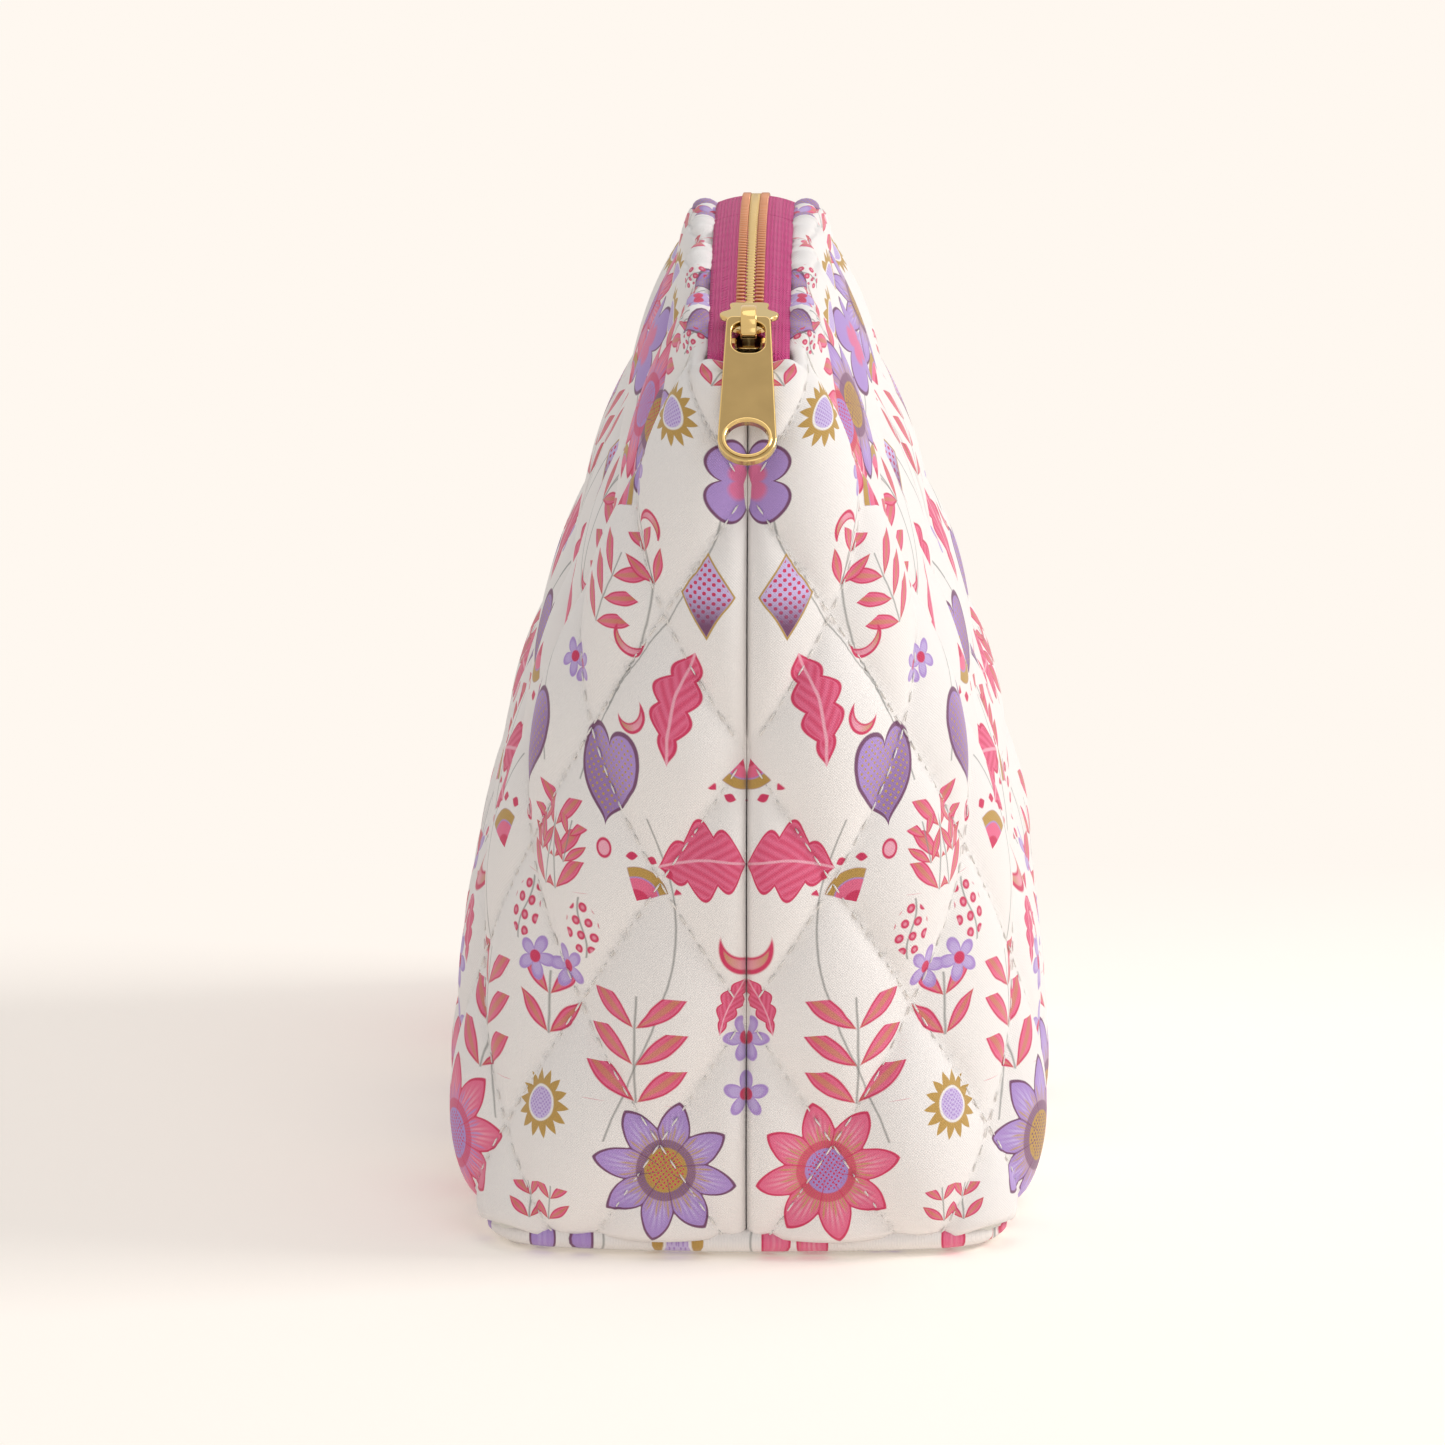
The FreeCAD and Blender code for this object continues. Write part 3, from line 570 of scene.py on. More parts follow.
def plated_metal(name, hex_colour, roughness, grain_strength, middle_colour=None):
    """Gold-plated zinc or brass: metallic, with a fine bead-blasted or buffed grain.

    middle_colour is a paler colour given within a millimetre of the bag's middle plane.
    """
    material, tree, surface = shader(name)
    place_out = add(tree, "TexCoord").node.outputs["Object"]
    grain = Field(tree, add(tree, "TexNoise", place_out, None, 2600.0, 3.0))
    smear = Field(tree, add(tree, "TexNoise", place_out, None, 160.0, 2.0))
    base = srgb(hex_colour)
    dark = tuple(c * 0.86 for c in base[:3]) + (1.0,)
    colour = add(tree, "MixRGB", smear, base, dark)
    if middle_colour:
        # The colour turns paler within a millimetre of the bag's middle plane.
        beside = Field(tree, add(tree, "SeparateXYZ", place_out)).work("ABSOLUTE")
        paler_middle_mask = ((beside / MM - 1.1) * -4.0).work("ADD", 0.5, clamp=True)
        colour = add(tree, "MixRGB", paler_middle_mask, colour, srgb(middle_colour))
    tree.links.new(colour, surface.inputs["Base Color"])
    surface.inputs["Metallic"].default_value = 1.0
    tree.links.new((smear * 0.12 + roughness - 0.06).socket, surface.inputs["Roughness"])
    bump = tree.nodes.new("ShaderNodeBump")
    bump.inputs["Strength"].default_value = grain_strength
    bump.inputs["Distance"].default_value = 0.00004
    tree.links.new(grain.socket, bump.inputs["Height"])
    tree.links.new(bump.outputs[0], surface.inputs["Normal"])
    return material


def finish_piece(bm, name, material, smooth=True):
    """Turn a bmesh into an object at the origin, in metres."""
    mesh = bpy.data.meshes.new(name)
    bm.to_mesh(mesh)
    bm.free()
    mesh.materials.append(material)
    for polygon in mesh.polygons:
        polygon.use_smooth = smooth
    piece = bpy.data.objects.new(name, mesh)
    bpy.context.collection.objects.link(piece)
    return piece


def sheet_mesh(points, flat, side):
    """Return a bmesh of a grid of points in millimetres, with its flat coordinates as the Cloth UV map."""
    count_u, count_v = points.shape[:2]
    bm = bmesh.new()
    layer = bm.loops.layers.uv.new("Cloth")
    bmesh.ops.create_grid(bm, x_segments=count_u - 1, y_segments=count_v - 1, size=1.0)
    order = sorted(bm.verts, key=lambda vert: (round(vert.co.y, 5), round(vert.co.x, 5)))
    index = {}
    for number, vert in enumerate(order):
        j, i = divmod(number, count_u)
        index[vert] = (i, j)
        x, y, z = points[i, j] * MM
        vert.co = (x * side, y, z)
    for face in bm.faces:
        for loop in face.loops:
            loop[layer].uv = flat[index[loop.vert]] * MM
    if side < 0:
        bmesh.ops.reverse_faces(bm, faces=bm.faces)
    bm.normal_update()
    return bm


def quilt_height(u, v, quilt):
    """Return how far the quilted cloth stands from its mean surface, in millimetres."""
    width, height = quilt.diamond_width / MM, quilt.diamond_height / MM
    first = u / width + (v - quilt.crossing / MM) / height
    second = u / width - (v - quilt.crossing / MM) / height
    a = np.abs(np.sin(math.pi * first))
    b = np.abs(np.sin(math.pi * second))
    pillow = (a * b) ** 0.55
    near_a = np.exp(-(a / 0.30) ** 2)
    near_b = np.exp(-(b / 0.30) ** 2)
    pucker = near_a * np.sin(2 * math.pi * second * 5.3 + 1.7 * np.sin(first * 3))
    pucker = pucker + near_b * np.sin(2 * math.pi * first * 4.9 + 1.3 * np.sin(second * 4))
    slack = np.sin(u / 23.0 + 1.3 * np.sin(v / 31.0)) * np.sin(v / 27.0 + 0.8)
    slack = slack + 0.6 * np.sin(u / 9.0 - v / 14.0 + 2.1)
    rise = (quilt.puff + quilt.sink) / MM * pillow - quilt.sink / MM
    return rise + 0.22 * pucker * a ** 0.5 * b ** 0.5 + 0.22 * slack * pillow


def seam_dip(u, v, total):
    """Return how deep the cloth sinks beside the end seams and the base seam, in millimetres."""
    end = np.minimum(u, total - u)
    return 2.6 * np.exp(-(end / 2.2) ** 1.2) + 1.0 * np.exp(-(np.maximum(v, 0.0) / 1.6) ** 1.2)


def cloth_grid(turns, quilt, step, depth, share, roll_rows):
    """Return a grid of points of one quarter's cloth, and its flat coordinates.

    depth is how far the sheet lies under the mean outer surface, share how much of the quilting it takes,
    and roll_rows how many rows roll over the mouth's edge.
    """
    longest = quarter_length(np.array(0.2)) * (turns[1] - turns[0]) * 4
    count_u = int(longest / step) + 1
    count_v = int(WALL_LENGTH / step) + 1
    turn = np.linspace(turns[0], turns[1], count_u)[:, None]
    # Rows lie evenly along the cloth, from the seam to the mouth
    ups = np.linspace(0.0, WALL_LENGTH, count_v)
    rise = rise_of(ups)[None, :]
    turn, rise = np.broadcast_arrays(turn, rise)
    v = np.broadcast_to(ups[None, :], turn.shape)
    u = 4 * turn * quarter_length(rise)
    total = 2 * quarter_length(rise)
    puff = quilt_height(u, v, quilt) * share
    from_mouth = (WALL_LENGTH - v)
    normal = wall_normals(turn, rise)
    lift = puff * (1 - 0.35 * np.exp(-from_mouth / 5.0)) - seam_dip(u, v, total) * min(share, 1.0) - depth
    base = wall(turn, rise)
    gathers = 0.40 * np.cos(2 * math.pi * u / (quilt.diamond_width / MM / 4)) * np.exp(-from_mouth / 4.0)
    points = base + normal * (lift + gathers * min(share, 1.0) * (share > 0))[..., None]
    points[..., 2] -= 1.5 * np.exp(-from_mouth / 3.0)
    keep = 0.12
    points[..., 0] = np.where(turn == 0.0, keep, np.maximum(points[..., 0], keep))
    points[..., 0] = np.where(turn == 0.5, keep, points[..., 0])
    flat = np.stack([u, v], axis=-1)
    if roll_rows:
        rim, rim_u = points[:, -1], u[:, -1]
        outward = normal[:, -1] * np.array([1.0, 1.0, 0.0])
        outward = outward / np.linalg.norm(outward, axis=-1, keepdims=True)
        thick = WALL_DEPTH + lift[:, -1]
        # At the ends of the mouth the edge is turned in less, so the tape shows wider there.
        bare = np.exp(-((np.abs(rim[:, 1]) - LENGTHS[3] / 2 + 5.0) / 4.0) ** 2)
        radius = (thick * (0.5 - 0.14 * bare) - 0.05)[:, None]
        ridge = (puff[:, -1] * 0.2 + gathers[:, -1] * 0.9 + 0.35)[:, None]
        rows, flats = [], []
        for j in range(1, roll_rows + 1):
            angle = math.pi * j / (roll_rows - 2) if j <= roll_rows - 2 else math.pi
            drop = max(j - (roll_rows - 2), 0) * 1.4
            over = rim - outward * radius * (1 - math.cos(angle))
            over = over + np.array([0.0, 0.0, 1.0]) * (radius * 0.35 + ridge) * math.sin(angle)
            over = over - np.array([0.0, 0.0, 1.0]) * drop
            over[:, 0] = np.maximum(over[:, 0], keep)
            rows.append(over)
            flats.append(np.stack([rim_u, WALL_LENGTH + 0 * rim_u + radius[:, 0] * angle + drop], axis=-1))
        points = np.concatenate([points, np.stack(rows, axis=1)], axis=1)
        flat = np.concatenate([flat, np.stack(flats, axis=1)], axis=1)
    return points, flat


def hang(piece, quarter):
    """Bake a piece's placement into its mesh; the end seam's line is worked out here, but the piece is not bent."""
    sign = -1.0 if quarter == "near" else 1.0
    low, high = END_LINE[0], END_LINE[-1]
    seam = Vector((0.0, sign * abs(high[1] - low[1]) * -1.0, high[2] - low[2])).normalized()
    inward = Vector((0.0, -sign * seam.z, sign * seam.y))
    start = Vector((0.0, sign * abs(low[1] + high[1]) / 2 * MM, (low[2] + high[2]) / 2 * MM))
    start = start + inward * 0.002
    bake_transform(piece)


def thicken(piece, thickness, inward=True):
    """Give a sheet its real thickness."""
    solid = piece.modifiers.new("Thickness", "SOLIDIFY")
    solid.thickness = thickness
    solid.offset = -1.0 if inward else 1.0


class BAG_OT_covers(bpy.types.Operator):
    """Quilted, printed covers of both halves of the bag"""

    bl_idname = "bag.covers"
    bl_label = "Covers"

    def execute(self, context):
        quilt = context.scene.bag_quilt
        for side, sign in SIDES.items():
            material = cotton_print(side)
            for quarter, turns in QUARTERS.items():
                points, flat = cloth_grid(turns, quilt, quilt.mesh_step / MM, 0.0, 1.0, 10)
                piece = finish_piece(sheet_mesh(points, flat, sign), "cover_%s_%s" % (side, quarter), material)
                thicken(piece, 0.0007)
                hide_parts("cover_" + side)
                hang(piece, quarter)
        return {"FINISHED"}


class BAG_OT_inner_layers(bpy.types.Operator):
    """Wadding and lining of both halves of the bag"""

    bl_idname = "bag.inner_layers"
    bl_label = "Wadding and lining"

    def execute(self, context):
        quilt = context.scene.bag_quilt
        kinds = (("wadding", "cotton_wadding", plain_cloth("cotton_wadding_needled", "F0EDE4", 1.1, 0.4),
                  1.5, 0.75, 0.0021, 4.0),
                 ("lining", "cotton_lining", plain_cloth("cotton_lining_plain_weave", "F2EAE4", 0.62),
                  3.9, -0.35, 0.0004, 3.0))
        for kind, slot, material, depth, share, thickness, step in kinds:
            for side, sign in SIDES.items():
                for quarter, turns in QUARTERS.items():
                    points, flat = cloth_grid(turns, quilt, step, depth, share, 0)
                    name = "%s_%s_%s" % (kind, side, quarter)
                    piece = finish_piece(sheet_mesh(points, flat, sign), name, material)
                    thicken(piece, thickness)
                    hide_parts(kind + "_" + side)
                    hang(piece, quarter)
        return {"FINISHED"}


BASE_SHEET = 0.7            # the base cover's thickness, which lies under its rings


def base_rings():
    """Return the base cover's rings, from its seam down round its edge and in to the middle."""
    count = 260
    turn = np.concatenate([np.linspace(0.0, 0.5, count), np.linspace(0.5, 0.0, count)[1:-1]])
    sign = np.concatenate([np.ones(count), -np.ones(count - 2)])
    outline = wall(turn, np.zeros_like(turn))
    normal = wall_normals(turn, np.full_like(turn, 0.001))
    normal[:, 2] = 0.0
    normal = normal / np.linalg.norm(normal, axis=1, keepdims=True)
    rings = []
    for inset, z in ((2.2, 5.6), (1.3, 5.0), (0.4, 4.2), (0.0, 3.2), (0.2, 2.0), (1.2, 0.9), (3.0, 0.3),
                     (6.0, 0.0), (14.0, 0.0), (28.0, 0.0), (44.0, 0.0)):
        ring = outline - normal * min(inset, 14.0)
        if inset > 14.0:
            shrink = 1.0 - (inset - 14.0) / 44.0
            ring = ring * np.array([shrink, 1.0, 1.0])
        ring[:, 2] = z + BASE_SHEET
        ring[:, 0] = ring[:, 0] * sign
        rings.append(ring)
    return np.stack(rings, axis=1)


class BAG_OT_base(bpy.types.Operator):
    """Cover of the base"""

    bl_idname = "bag.base"
    bl_label = "Base"

    def execute(self, context):
        rings = base_rings()
        closed = np.concatenate([rings, rings[:1]], axis=0)
        flat = closed[..., :2] * np.array([1.0, 0.5]) + np.array([150.0, 90.0])
        bm = sheet_mesh(closed, flat, 1.0)
        bmesh.ops.remove_doubles(bm, verts=bm.verts, dist=1e-6)
        open_edges = [edge for edge in bm.edges if edge.is_boundary and max(v.co.z for v in edge.verts) < 0.001]
        bmesh.ops.holes_fill(bm, edges=open_edges)
        bmesh.ops.recalc_face_normals(bm, faces=bm.faces)
        bm.normal_update()
        if sum(face.normal.z * face.calc_area() for face in bm.faces) > 0:
            bmesh.ops.reverse_faces(bm, faces=bm.faces)
        piece = finish_piece(bm, "cover_base_panel", cotton_print("base"))
        thicken(piece, 0.0007)
        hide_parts("cover_base")
        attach(piece, "base")
        return {"FINISHED"}


def stitch_paths(quilt, turns):
    """Return the quilting lines of one quarter as lists of flat points, in millimetres."""
    width, height = quilt.diamond_width / MM, quilt.diamond_height / MM
    crossing = quilt.crossing / MM
    pitch = (quilt.stitch_length + quilt.stitch_gap) / MM
    slope = math.hypot(width, height)
    step_u, step_v = width / slope * pitch, height / slope * pitch
    stitches = []
    longest = 2 * float(quarter_length(np.array(0.2)))
    for direction in (1, -1):
        for line in range(-8, int(longest / width) + 9):
            start_v = crossing - direction * line * height
            count = int(WALL_LENGTH / step_v) + 2
            for k in range(count):
                v = k * step_v + 1.2
                u = direction * (v - start_v) * width / height
                if direction < 0:
                    u = -(v - start_v) * width / height
                if not 1.0 < v < WALL_LENGTH - 1.0:
                    continue
                quarter = float(quarter_length(rise_of(v)))
                low, high = turns[0] * 4 * quarter, turns[1] * 4 * quarter
                if low + 2.0 * (turns[0] == 0.0) <= u < high - 2.0 * (turns[1] == 0.5):
                    stitches.append((u, v, direction * step_u / pitch, step_v / pitch))
    return stitches


def surface_at(u, v, quilt):
    """Return points and normals of the quilted cover at flat places, in millimetres."""
    rise = rise_of(v)
    quarter = quarter_length(rise)
    turn = np.clip(u / (4 * quarter), 0.0, 0.5)
    normal = wall_normals(turn, rise)
    lift = quilt_height(u, v, quilt) * (1 - 0.35 * np.exp(-(WALL_LENGTH - v) / 5.0))
    lift = lift - seam_dip(u, v, 2 * quarter)
    return wall(turn, rise) + normal * lift[..., None], normal


class BAG_OT_stitches(bpy.types.Operator):
    """Quilting thread, one small rounded piece for each stitch"""

    bl_idname = "bag.stitches"
    bl_label = "Quilting stitches"

    def execute(self, context):
        quilt = context.scene.bag_quilt
        material = plain_cloth("cotton_thread_twisted", "F3EEE8", 0.5)
        half = quilt.stitch_length / MM / 2
        radius = quilt.thread / 2
        for side, sign in SIDES.items():
            for quarter, turns in QUARTERS.items():
                stitches = np.array(stitch_paths(quilt, turns))
                u, v, du, dv = stitches.T
                middle, normal = surface_at(u, v, quilt)
                ahead, _ = surface_at(u + du * half, v + dv * half, quilt)
                behind, _ = surface_at(u - du * half, v - dv * half, quilt)
                bm = bmesh.new()
                for here, up, tip, tail in zip(middle, normal, ahead, behind):
                    axis = Vector((tip - tail) * np.array([sign, 1, 1])).normalized()
                    out = Vector(up * np.array([sign, 1, 1]))
                    out = (out - axis * out.dot(axis)).normalized()
                    across = axis.cross(out)
                    centre = Vector(here * np.array([sign, 1, 1])) * MM + out * (radius * 0.8 + 0.0005)
                    turn = Matrix((axis, across, out)).transposed().to_4x4()
                    grow = Matrix.Diagonal((half * MM / radius, 1.0, 0.9, 1.0))
                    bmesh.ops.create_icosphere(bm, subdivisions=1, radius=radius,
                                               matrix=Matrix.Translation(centre) @ turn @ grow)
                piece = finish_piece(bm, "quilting_thread_%s_%s" % (side, quarter), material)
                hang(piece, quarter)
        return {"FINISHED"}


def on_arc(x, along, height):
    """Return a point above the zip's arc, in metres; along is the length from the crest towards the far end."""
    angle = along / ARC_RADIUS
    radius = ARC_RADIUS + height
    return Vector((x, radius * math.sin(angle), ARC_CENTRE + radius * math.cos(angle))) * MM


NOSE_LENGTH = ARC_RADIUS * math.asin(-(LENGTHS[3] / 2 - 4.3) / ARC_RADIUS) + 5.0
CHAIN_START = NOSE_LENGTH + 7.0
CHAIN_END = -(NOSE_LENGTH - 5.0) - 2.4
TOOTH_PITCH = 2.2


class BAG_OT_zip_tapes(bpy.types.Operator):
    """Woven tapes of the zip"""

    bl_idname = "bag.zip_tapes"
    bl_label = "Zip tapes"

    def execute(self, context):
        material = tape_cloth()
        end = -(NOSE_LENGTH - 5.0) + 2.6
        for side, sign in SIDES.items():
            for quarter, (start, stop) in {"near": (-end, 0.0), "far": (0.0, end)}.items():
                alongs = np.linspace(start, stop, 90)
                shares = np.linspace(0.0, 1.0, 15)
                points = np.zeros((len(shares), len(alongs), 3))
                flat = np.zeros((len(shares), len(alongs), 2))
                for j, along in enumerate(alongs):
                    part = max(0.0, min(1.0, (NOSE_LENGTH + 4.4 - along) / 3.0))
                    part = part * part * (3 - 2 * part)
                    inner = 0.9 + 2.1 * part
                    for i, share in enumerate(shares):
                        flare = math.exp(-((abs(along) + end) / 5.0) ** 2)
                        x = inner + (8.9 + 1.0 * flare - inner) * share
                        bead = 0.28 * math.exp(-((share - 0.04) / 0.05) ** 2)
                        tuck = max(0.0, abs(along) - end + 3.2) / 3.2
                        sag = -1.7 * share ** 2 + 0.12 * math.sin(along * 0.9) * share - 1.6 * tuck ** 2
                        points[i, j] = np.array(on_arc(x, along, 0.3 + bead + sag)) / MM
                        flat[i, j] = (x, along)
                bm = sheet_mesh(points, flat, sign)
                if sum(face.normal.z for face in bm.faces) < 0:
                    bmesh.ops.reverse_faces(bm, faces=bm.faces)
                piece = finish_piece(bm, "zip_tape_%s_%s" % (side, quarter), material)
                thicken(piece, 0.0006)
                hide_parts("zip_tape_" + side)
                hang(piece, quarter)
        return {"FINISHED"}


def tooth_shape(bm, matrix):
    """Add one zip tooth: two rounded legs over the tape and a rounded head."""
    legs = bmesh.ops.create_cube(bm, size=1.0, matrix=Matrix.Translation((0.0021, 0, 0))
                                 @ Matrix.Diagonal((0.0019, 0.00080, 0.0018, 1.0)))["verts"]
    head = bmesh.ops.create_cube(bm, size=1.0, matrix=Matrix.Translation((0.00020, 0, 0))
                                 @ Matrix.Diagonal((0.0019, 0.00078, 0.0014, 1.0)))["verts"]
    verts = legs + head
    edges = list({edge for vert in verts for edge in vert.link_edges})
    made = bmesh.ops.bevel(bm, geom=edges, offset=0.00024, segments=2, affect="EDGES", profile=0.5, material=-1)
    every = {vert for vert in verts if vert.is_valid} | set(made["verts"])
    bmesh.ops.transform(bm, matrix=matrix, verts=list(every))


class BAG_OT_zip_teeth(bpy.types.Operator):
    """Metal teeth of the zip, each clamped on its tape"""

    bl_idname = "bag.zip_teeth"
    bl_label = "Zip teeth"

    def execute(self, context):
        material = plated_metal("brass_teeth_rose_plated", "C98E6C", 0.30, 0.15, "C7AC76")
        count = int((CHAIN_END - CHAIN_START) / TOOTH_PITCH)
        for side, sign in SIDES.items():
            shift = 0.25 if sign > 0 else 0.75
            for quarter in QUARTERS:
                bm = bmesh.new()
                for k in range(count):
                    along = CHAIN_START + TOOTH_PITCH * (k + shift)
                    if (along < 0) != (quarter == "near"):
                        continue
                    lean = Matrix.Rotation(-along / ARC_RADIUS, 4, "X")
                    flip = Matrix.Diagonal((sign, 1.0, 1.0, 1.0))
                    tooth_shape(bm, Matrix.Translation(on_arc(0.0, along, 0.1)) @ lean @ flip)
                bmesh.ops.recalc_face_normals(bm, faces=bm.faces)
                piece = finish_piece(bm, "zip_teeth_%s_%s" % (side, quarter), material)
                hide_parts("zip_teeth_" + side)
                hang(piece, quarter)
        return {"FINISHED"}


SLIDER_PLACE = (Matrix.Translation((0, 0, ARC_CENTRE * MM)) @ Matrix.Rotation(-NOSE_LENGTH / ARC_RADIUS, 4, "X")
                @ Matrix.Translation((0, 0, ARC_RADIUS * MM)))
PLATE_EDGE = ((0.0, 14.0), (3.2, 14.0), (4.15, 13.5), (4.2, 12.6), (3.95, 11.4), (4.5, 10.3), (5.9, 9.3), (6.4, 8.3),
              (6.1, 7.2), (5.0, 6.2), (4.4, 5.0), (4.5, 3.6), (4.1, 2.0), (3.0, 0.6), (1.6, 0.0), (0.0, 0.0))
PULL_LEAN = math.radians(49.0)
PULL_PIVOT = Vector((0.0, -93.2066, 200.5133))
PULL_HOLE_AT = 32.85
PULL_PLACE = Matrix.Translation(PULL_PIVOT * MM) @ Matrix.Rotation(math.pi / 2 - PULL_LEAN, 4, "X")


def flat_curve(name, loops, half_thickness, edge_round):
    """Return a mesh of a flat plate with rounded edges, from closed outlines in millimetres."""
    curve = bpy.data.curves.new(name, "CURVE")
    curve.dimensions = "2D"
    curve.fill_mode = "BOTH"
    curve.extrude = (half_thickness - edge_round) * MM
    curve.bevel_depth = edge_round * MM
    curve.bevel_resolution = 3
    curve.offset = -edge_round * MM
    for loop in loops:
        spline = curve.splines.new("POLY")
        spline.points.add(len(loop) - 1)
        for point, (x, y) in zip(spline.points, loop):
            point.co = (x * MM, y * MM, 0.0, 1.0)
        spline.use_cyclic_u = True
    shape = bpy.data.objects.new(name, curve)
    mesh = bpy.data.meshes.new_from_object(shape)
    bpy.data.objects.remove(shape)
    return mesh


def smooth_loop(points, steps):
    """Return a closed outline that runs smoothly through its points."""
    loop = []
    count = len(points)
    for i in range(count):
        p0, p1, p2, p3 = (np.array(points[(i + k) % count], dtype=float) for k in (-1, 0, 1, 2))
        for j in range(steps):
            t = j / steps
            loop.append(tuple(0.5 * (2 * p1 + (p2 - p0) * t + (2 * p0 - 5 * p1 + 4 * p2 - p3) * t ** 2
                                     + (3 * p1 - p0 - 3 * p2 + p3) * t ** 3)))
    return loop


def rounded_bar(corners, radii, steps=10):
    """Return a closed outline of straight sides joined by arcs, through four corners of a rectangle."""
    loop = []
    for number, ((x, y), radius) in enumerate(zip(corners, radii)):
        quarter = math.pi / 2 * (number + 1)
        cx = x - radius * (1 if x > 0 else -1)
        cy = y - radius * (1 if number in (0, 1) else -1)
        for j in range(steps + 1):
            angle = quarter - math.pi / 2 + math.pi / 2 * j / steps
            loop.append((cx + radius * math.cos(angle), cy + radius * math.sin(angle)))
    return loop


def swept_strap(bm, path, half_width, half_thickness):
    """Add a strap of rounded cross-section along a path of (y, height) points, in millimetres."""
    rings = []
    for i, (y, z) in enumerate(path):
        before, after = path[max(i - 1, 0)], path[min(i + 1, len(path) - 1)]
        along = Vector((0, after[0] - before[0], after[1] - before[1])).normalized()
        up = Vector((0, -along.z, along.y))
        ring = []
        for k in range(24):
            angle = 2 * math.pi * k / 24
            across = math.copysign(abs(math.cos(angle)) ** 0.35, math.cos(angle)) * half_width
            high = math.copysign(abs(math.sin(angle)) ** 0.55, math.sin(angle)) * half_thickness
            ring.append(bm.verts.new((Vector((across, y, z)) + up * high) * MM))
        rings.append(ring)
    for one, two in zip(rings, rings[1:]):
        for k in range(24):
            bm.faces.new((one[k], one[(k + 1) % 24], two[(k + 1) % 24], two[k]))
    bm.faces.new(rings[0])
    bm.faces.new(rings[-1])


def two_finishes(piece, normal, face_material, edge_material):
    """Give a plate's flat faces one material and its rounded edges another, which differ in finish and in painted
    light.
    """
    mesh = piece.data
    mesh.materials.clear()
    mesh.materials.append(face_material)
    mesh.materials.append(edge_material)
    for polygon in mesh.polygons:
        polygon.material_index = 0 if abs(polygon.normal.dot(normal)) > 0.985 else 1


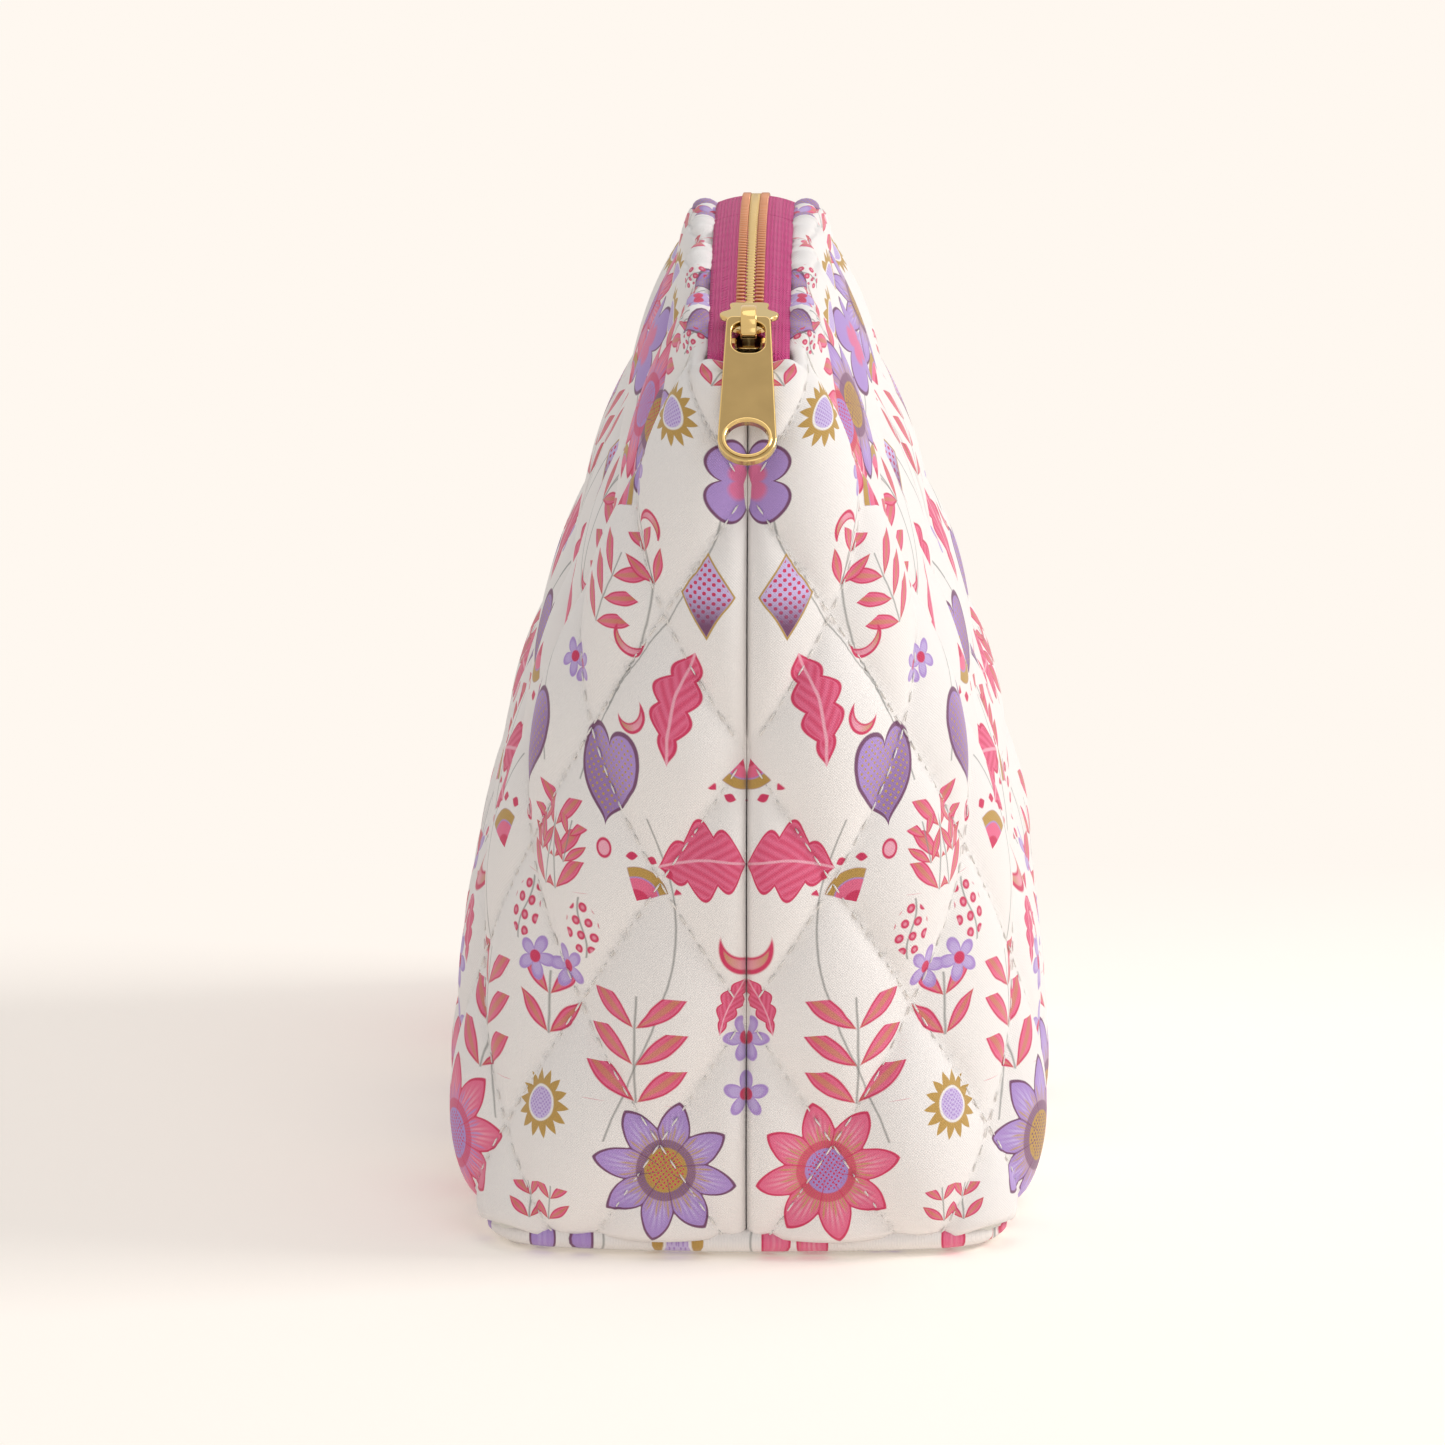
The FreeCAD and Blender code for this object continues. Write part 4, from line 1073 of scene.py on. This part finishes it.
class BAG_OT_slider(bpy.types.Operator):
    """Slider's scalloped plates, its bridge and the pull"""

    bl_idname = "bag.slider"
    bl_label = "Slider and pull"

    def execute(self, context):
        # One gold plating in three colours: the pull's satin face gets a darker copy as painted shade, the polished
        # edges a brighter copy as painted highlight on top of their real polish, and the slider's plates a paler copy.
        shaded_satin_gold = plated_metal("zinc_satin_gold_plate_painted_shade", "978055", 0.38, 0.35)
        pale = plated_metal("zinc_pale_gold_plate", "D0BB88", 0.28, 0.12)
        polished_highlight_gold = plated_metal("zinc_polished_gold_plate_painted_highlight", "DDBE80", 0.12, 0.03)
        half = [(x, y) for x, y in PLATE_EDGE]
        outline = smooth_loop(half[:-1] + [(-x, y) for x, y in reversed(half[1:])], 4)
        bm = bmesh.new()
        for height in (2.15, -2.15):
            plate = flat_curve("plate", [outline], 0.6, 0.28)
            plate.transform(Matrix.Translation((0, 0, height * MM)))
            bm.from_mesh(plate)
            bpy.data.meshes.remove(plate)
        blocks = [((0, 2.3, 0), (2.9, 3.4, 3.2))]
        for sign in (1, -1):
            blocks += [((sign * 3.75, 9.3, 1.15), (0.8, 8.4, 0.9)), ((sign * 3.75, 9.3, -1.15), (0.8, 8.4, 0.9))]
        blocks.append(((0, -1.0, 2.15), (3.4, 2.6, 1.1)))
        for middle, size in blocks:
            made = bmesh.ops.create_cube(bm, size=MM, matrix=Matrix.Translation(Vector(middle) * MM)
                                         @ Matrix.Diagonal(size + (1.0,)))["verts"]
            edges = list({edge for vert in made for edge in vert.link_edges})
            bmesh.ops.bevel(bm, geom=edges, offset=0.00018, segments=2, affect="EDGES", profile=0.5, material=-1)
        bmesh.ops.recalc_face_normals(bm, faces=bm.faces)
        bmesh.ops.transform(bm, matrix=SLIDER_PLACE, verts=bm.verts)
        body = finish_piece(bm, "slider_body_plates", pale, smooth=False)
        two_finishes(body, SLIDER_PLACE.to_3x3() @ Vector((0, 0, 1)), pale, polished_highlight_gold)
        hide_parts("slider_body")
        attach(body, "slider")

        bm = bmesh.new()
        arch = smooth_loop(((-2.1, 2.5), (-2.1, 4.4), (-1.0, 6.1), (1.0, 6.75), (3.6, 6.35), (5.9, 4.9), (7.2, 2.5)), 8)
        arch = arch[:-15]
        swept_strap(bm, arch, 1.75, 0.6)
        bmesh.ops.recalc_face_normals(bm, faces=bm.faces)
        bmesh.ops.transform(bm, matrix=SLIDER_PLACE, verts=bm.verts)
        strap = finish_piece(bm, "slider_bridge_strap", polished_highlight_gold)
        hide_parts("slider_bridge")
        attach(strap, "slider")

        end = PULL_HOLE_AT + 6.35
        foot = [(6.35 * math.cos(a), -PULL_HOLE_AT + 6.35 * math.sin(a)) for a in np.linspace(-math.pi, 0, 40)]
        head = [(3.35 + 1.5 * math.cos(a), -0.7 + 1.5 * math.sin(a)) for a in np.linspace(0, math.pi / 2, 10)]
        head += [(-x, y) for x, y in reversed(head)]
        hole = [(4.6 * math.cos(a), -PULL_HOLE_AT + 4.6 * math.sin(a)) for a in np.linspace(0, 2 * math.pi, 49)[:-1]]
        window = rounded_bar(((3.6, -0.8), (-3.6, -0.8), (-3.6, -9.4), (3.6, -9.4)), (2.4, 2.4, 2.8, 2.8))
        plate = flat_curve("pull", [foot + head, hole, window], 0.9, 0.30)
        bm = bmesh.new()
        bm.from_mesh(plate)
        bpy.data.meshes.remove(plate)
        rim = [bm.verts.new((0, 0, 0)) for _ in range(64 * 12)]
        for i in range(64):
            a = 2 * math.pi * i / 64
            for j in range(12):
                b = 2 * math.pi * j / 12
                radius = 5.05 + 0.42 * math.cos(b)
                rim[i * 12 + j].co = Vector((radius * math.cos(a), radius * math.sin(a) - PULL_HOLE_AT,
                                             0.95 + 0.34 * math.sin(b))) * MM
        for i in range(64):
            for j in range(12):
                near, far = i * 12, (i + 1) % 64 * 12
                bm.faces.new((rim[near + j], rim[far + j], rim[far + (j + 1) % 12], rim[near + (j + 1) % 12]))
        bmesh.ops.recalc_face_normals(bm, faces=bm.faces)
        bmesh.ops.transform(bm, matrix=PULL_PLACE, verts=bm.verts)
        pull = finish_piece(bm, "pull_plate", shaded_satin_gold, smooth=False)
        two_finishes(pull, PULL_PLACE.to_3x3() @ Vector((0, 0, 1)), shaded_satin_gold, polished_highlight_gold)
        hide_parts("pull_tab")
        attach(pull, "pull")
        return {"FINISHED"}


class BAG_OT_finishes(bpy.types.Operator):
    """Materials of the pieces that keep their CAD shape"""

    bl_idname = "bag.finishes"
    bl_label = "Metal and binding finishes"

    def execute(self, context):
        teeth = plated_metal("brass_stops_gold_plate", "E3C07F", 0.25, 0.15)
        binding = plain_cloth("cotton_bias_binding", "EFE4DE", 0.62)
        wadding = plain_cloth("cotton_wadding_base", "F0EDE4", 1.1, 0.4)
        lining = plain_cloth("cotton_lining_base", "F2EAE4", 0.62)
        finishes = {"top_stop_right": teeth, "top_stop_left": teeth, "bottom_stop": teeth, "binding_base": binding,
                    "binding_side_near": binding, "binding_side_far": binding, "wadding_base": wadding,
                    "lining_base": lining}
        for node, material in finishes.items():
            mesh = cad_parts[node].data
            mesh.materials.clear()
            mesh.materials.append(material)
        return {"FINISHED"}


class BAG_OT_stage(bpy.types.Operator):
    """Floor, backdrop, lights and camera"""

    bl_idname = "bag.stage"
    bl_label = "Stage"

    def execute(self, context):
        scene = context.scene
        scene.view_settings.view_transform = "Standard"
        bm = bmesh.new()
        bmesh.ops.create_grid(bm, x_segments=2, y_segments=2, size=6.0)
        material, tree, surface = shader("floor_matt_paper")
        surface.inputs["Base Color"].default_value = srgb("FBF2E8")
        surface.inputs["Roughness"].default_value = 0.95
        surface.inputs["Specular IOR Level"].default_value = 0.0
        surface.inputs["Emission Color"].default_value = srgb("FFF9F2")
        surface.inputs["Emission Strength"].default_value = 0.20
        # Away from the bag the paper curves up into an evenly lit backdrop, stood for by its own glow.
        spot = add(tree, "TexCoord").node.outputs["Object"]
        parts = add(tree, "SeparateXYZ", spot).node.outputs
        behind = ((Field(tree, parts[1]) - 0.09) / 0.16).work("ADD", 0.0, clamp=True)
        glow = tree.nodes.new("ShaderNodeEmission")
        glow.inputs["Color"].default_value = srgb("FFF8F0")
        both = add(tree, "MixShader", behind, surface.outputs[0], glow.outputs[0])
        tree.links.new(both, tree.nodes["Material Output"].inputs["Surface"])
        floor = finish_piece(bm, "floor", material)

        world = bpy.data.worlds.new("studio")
        scene.world = world
        world.use_nodes = True
        tree = world.node_tree
        background = tree.nodes["Background"]
        path = tree.nodes.new("ShaderNodeLightPath")
        seen = add(tree, "Math", path.outputs["Is Camera Ray"], path.outputs["Is Glossy Ray"], operation="MAXIMUM")
        seen = add(tree, "Math", seen, path.outputs["Is Transmission Ray"], operation="MAXIMUM")
        colour = add(tree, "MixRGB", seen, srgb("F1F3F5"), srgb("FFF9F1"))
        tree.links.new(colour, background.inputs["Color"])
        strength = add(tree, "Math", seen, 0.42, 0.58, operation="MULTIPLY_ADD")
        tree.links.new(strength, background.inputs["Strength"])

        lamps = (("key", (2.0, 0.05, 1.35), 0.9, 25.0), ("front", (0.9, -2.6, 1.6), 1.6, 6.0),
                 ("top", (0.3, 0.2, 2.2), 1.6, 7.0))
        for name, spot, size, power in lamps:
            data = bpy.data.lights.new(name, "AREA")
            data.size = size
            data.energy = power
            lamp = bpy.data.objects.new(name, data)
            lamp.location = spot
            lamp.rotation_euler = (Vector((0, 0, 0.1)) - Vector(spot)).to_track_quat("-Z", "Y").to_euler()
            context.collection.objects.link(lamp)

        data = bpy.data.cameras.new("camera")
        data.sensor_width = 36.0
        data.lens = 235.6
        camera = bpy.data.objects.new("camera", data)
        camera.location = (0.025, -2.110, 0.5507)
        camera.rotation_euler = (math.pi / 2 - 0.21432, 0.0, 0.0152)
        context.collection.objects.link(camera)
        scene.camera = camera
        return {"FINISHED"}


class BAG_PT_panel(bpy.types.Panel):
    """Sidebar panel that lists the sizes, the colours and the steps"""

    bl_idname = "BAG_PT_panel"
    bl_label = "Makeup Bag"
    bl_space_type = "VIEW_3D"
    bl_region_type = "UI"
    bl_category = "Makeup Bag"

    def draw(self, context):
        layout = self.layout
        for group in (context.scene.bag_quilt, context.scene.bag_colours):
            for name in group.__annotations__:
                layout.prop(group, name)
        for operator in OPERATORS:
            layout.operator(operator.bl_idname)


OPERATORS = (BAG_OT_stage, BAG_OT_covers, BAG_OT_inner_layers, BAG_OT_base, BAG_OT_stitches, BAG_OT_zip_tapes,
             BAG_OT_zip_teeth, BAG_OT_slider, BAG_OT_finishes)
CLASSES = (QuiltSettings, ClothColours) + OPERATORS + (BAG_PT_panel,)


def register():
    for item in CLASSES:
        bpy.utils.register_class(item)
    bpy.types.Scene.bag_quilt = bpy.props.PointerProperty(type=QuiltSettings)
    bpy.types.Scene.bag_colours = bpy.props.PointerProperty(type=ClothColours)


def unregister():
    del bpy.types.Scene.bag_colours
    del bpy.types.Scene.bag_quilt
    for item in reversed(CLASSES):
        bpy.utils.unregister_class(item)


def main():
    register()
    bpy.ops.bag.stage()
    bpy.ops.bag.covers()
    bpy.ops.bag.inner_layers()
    bpy.ops.bag.base()
    bpy.ops.bag.stitches()
    bpy.ops.bag.zip_tapes()
    bpy.ops.bag.zip_teeth()
    bpy.ops.bag.slider()
    bpy.ops.bag.finishes()


if __name__ == "__main__":
    main()
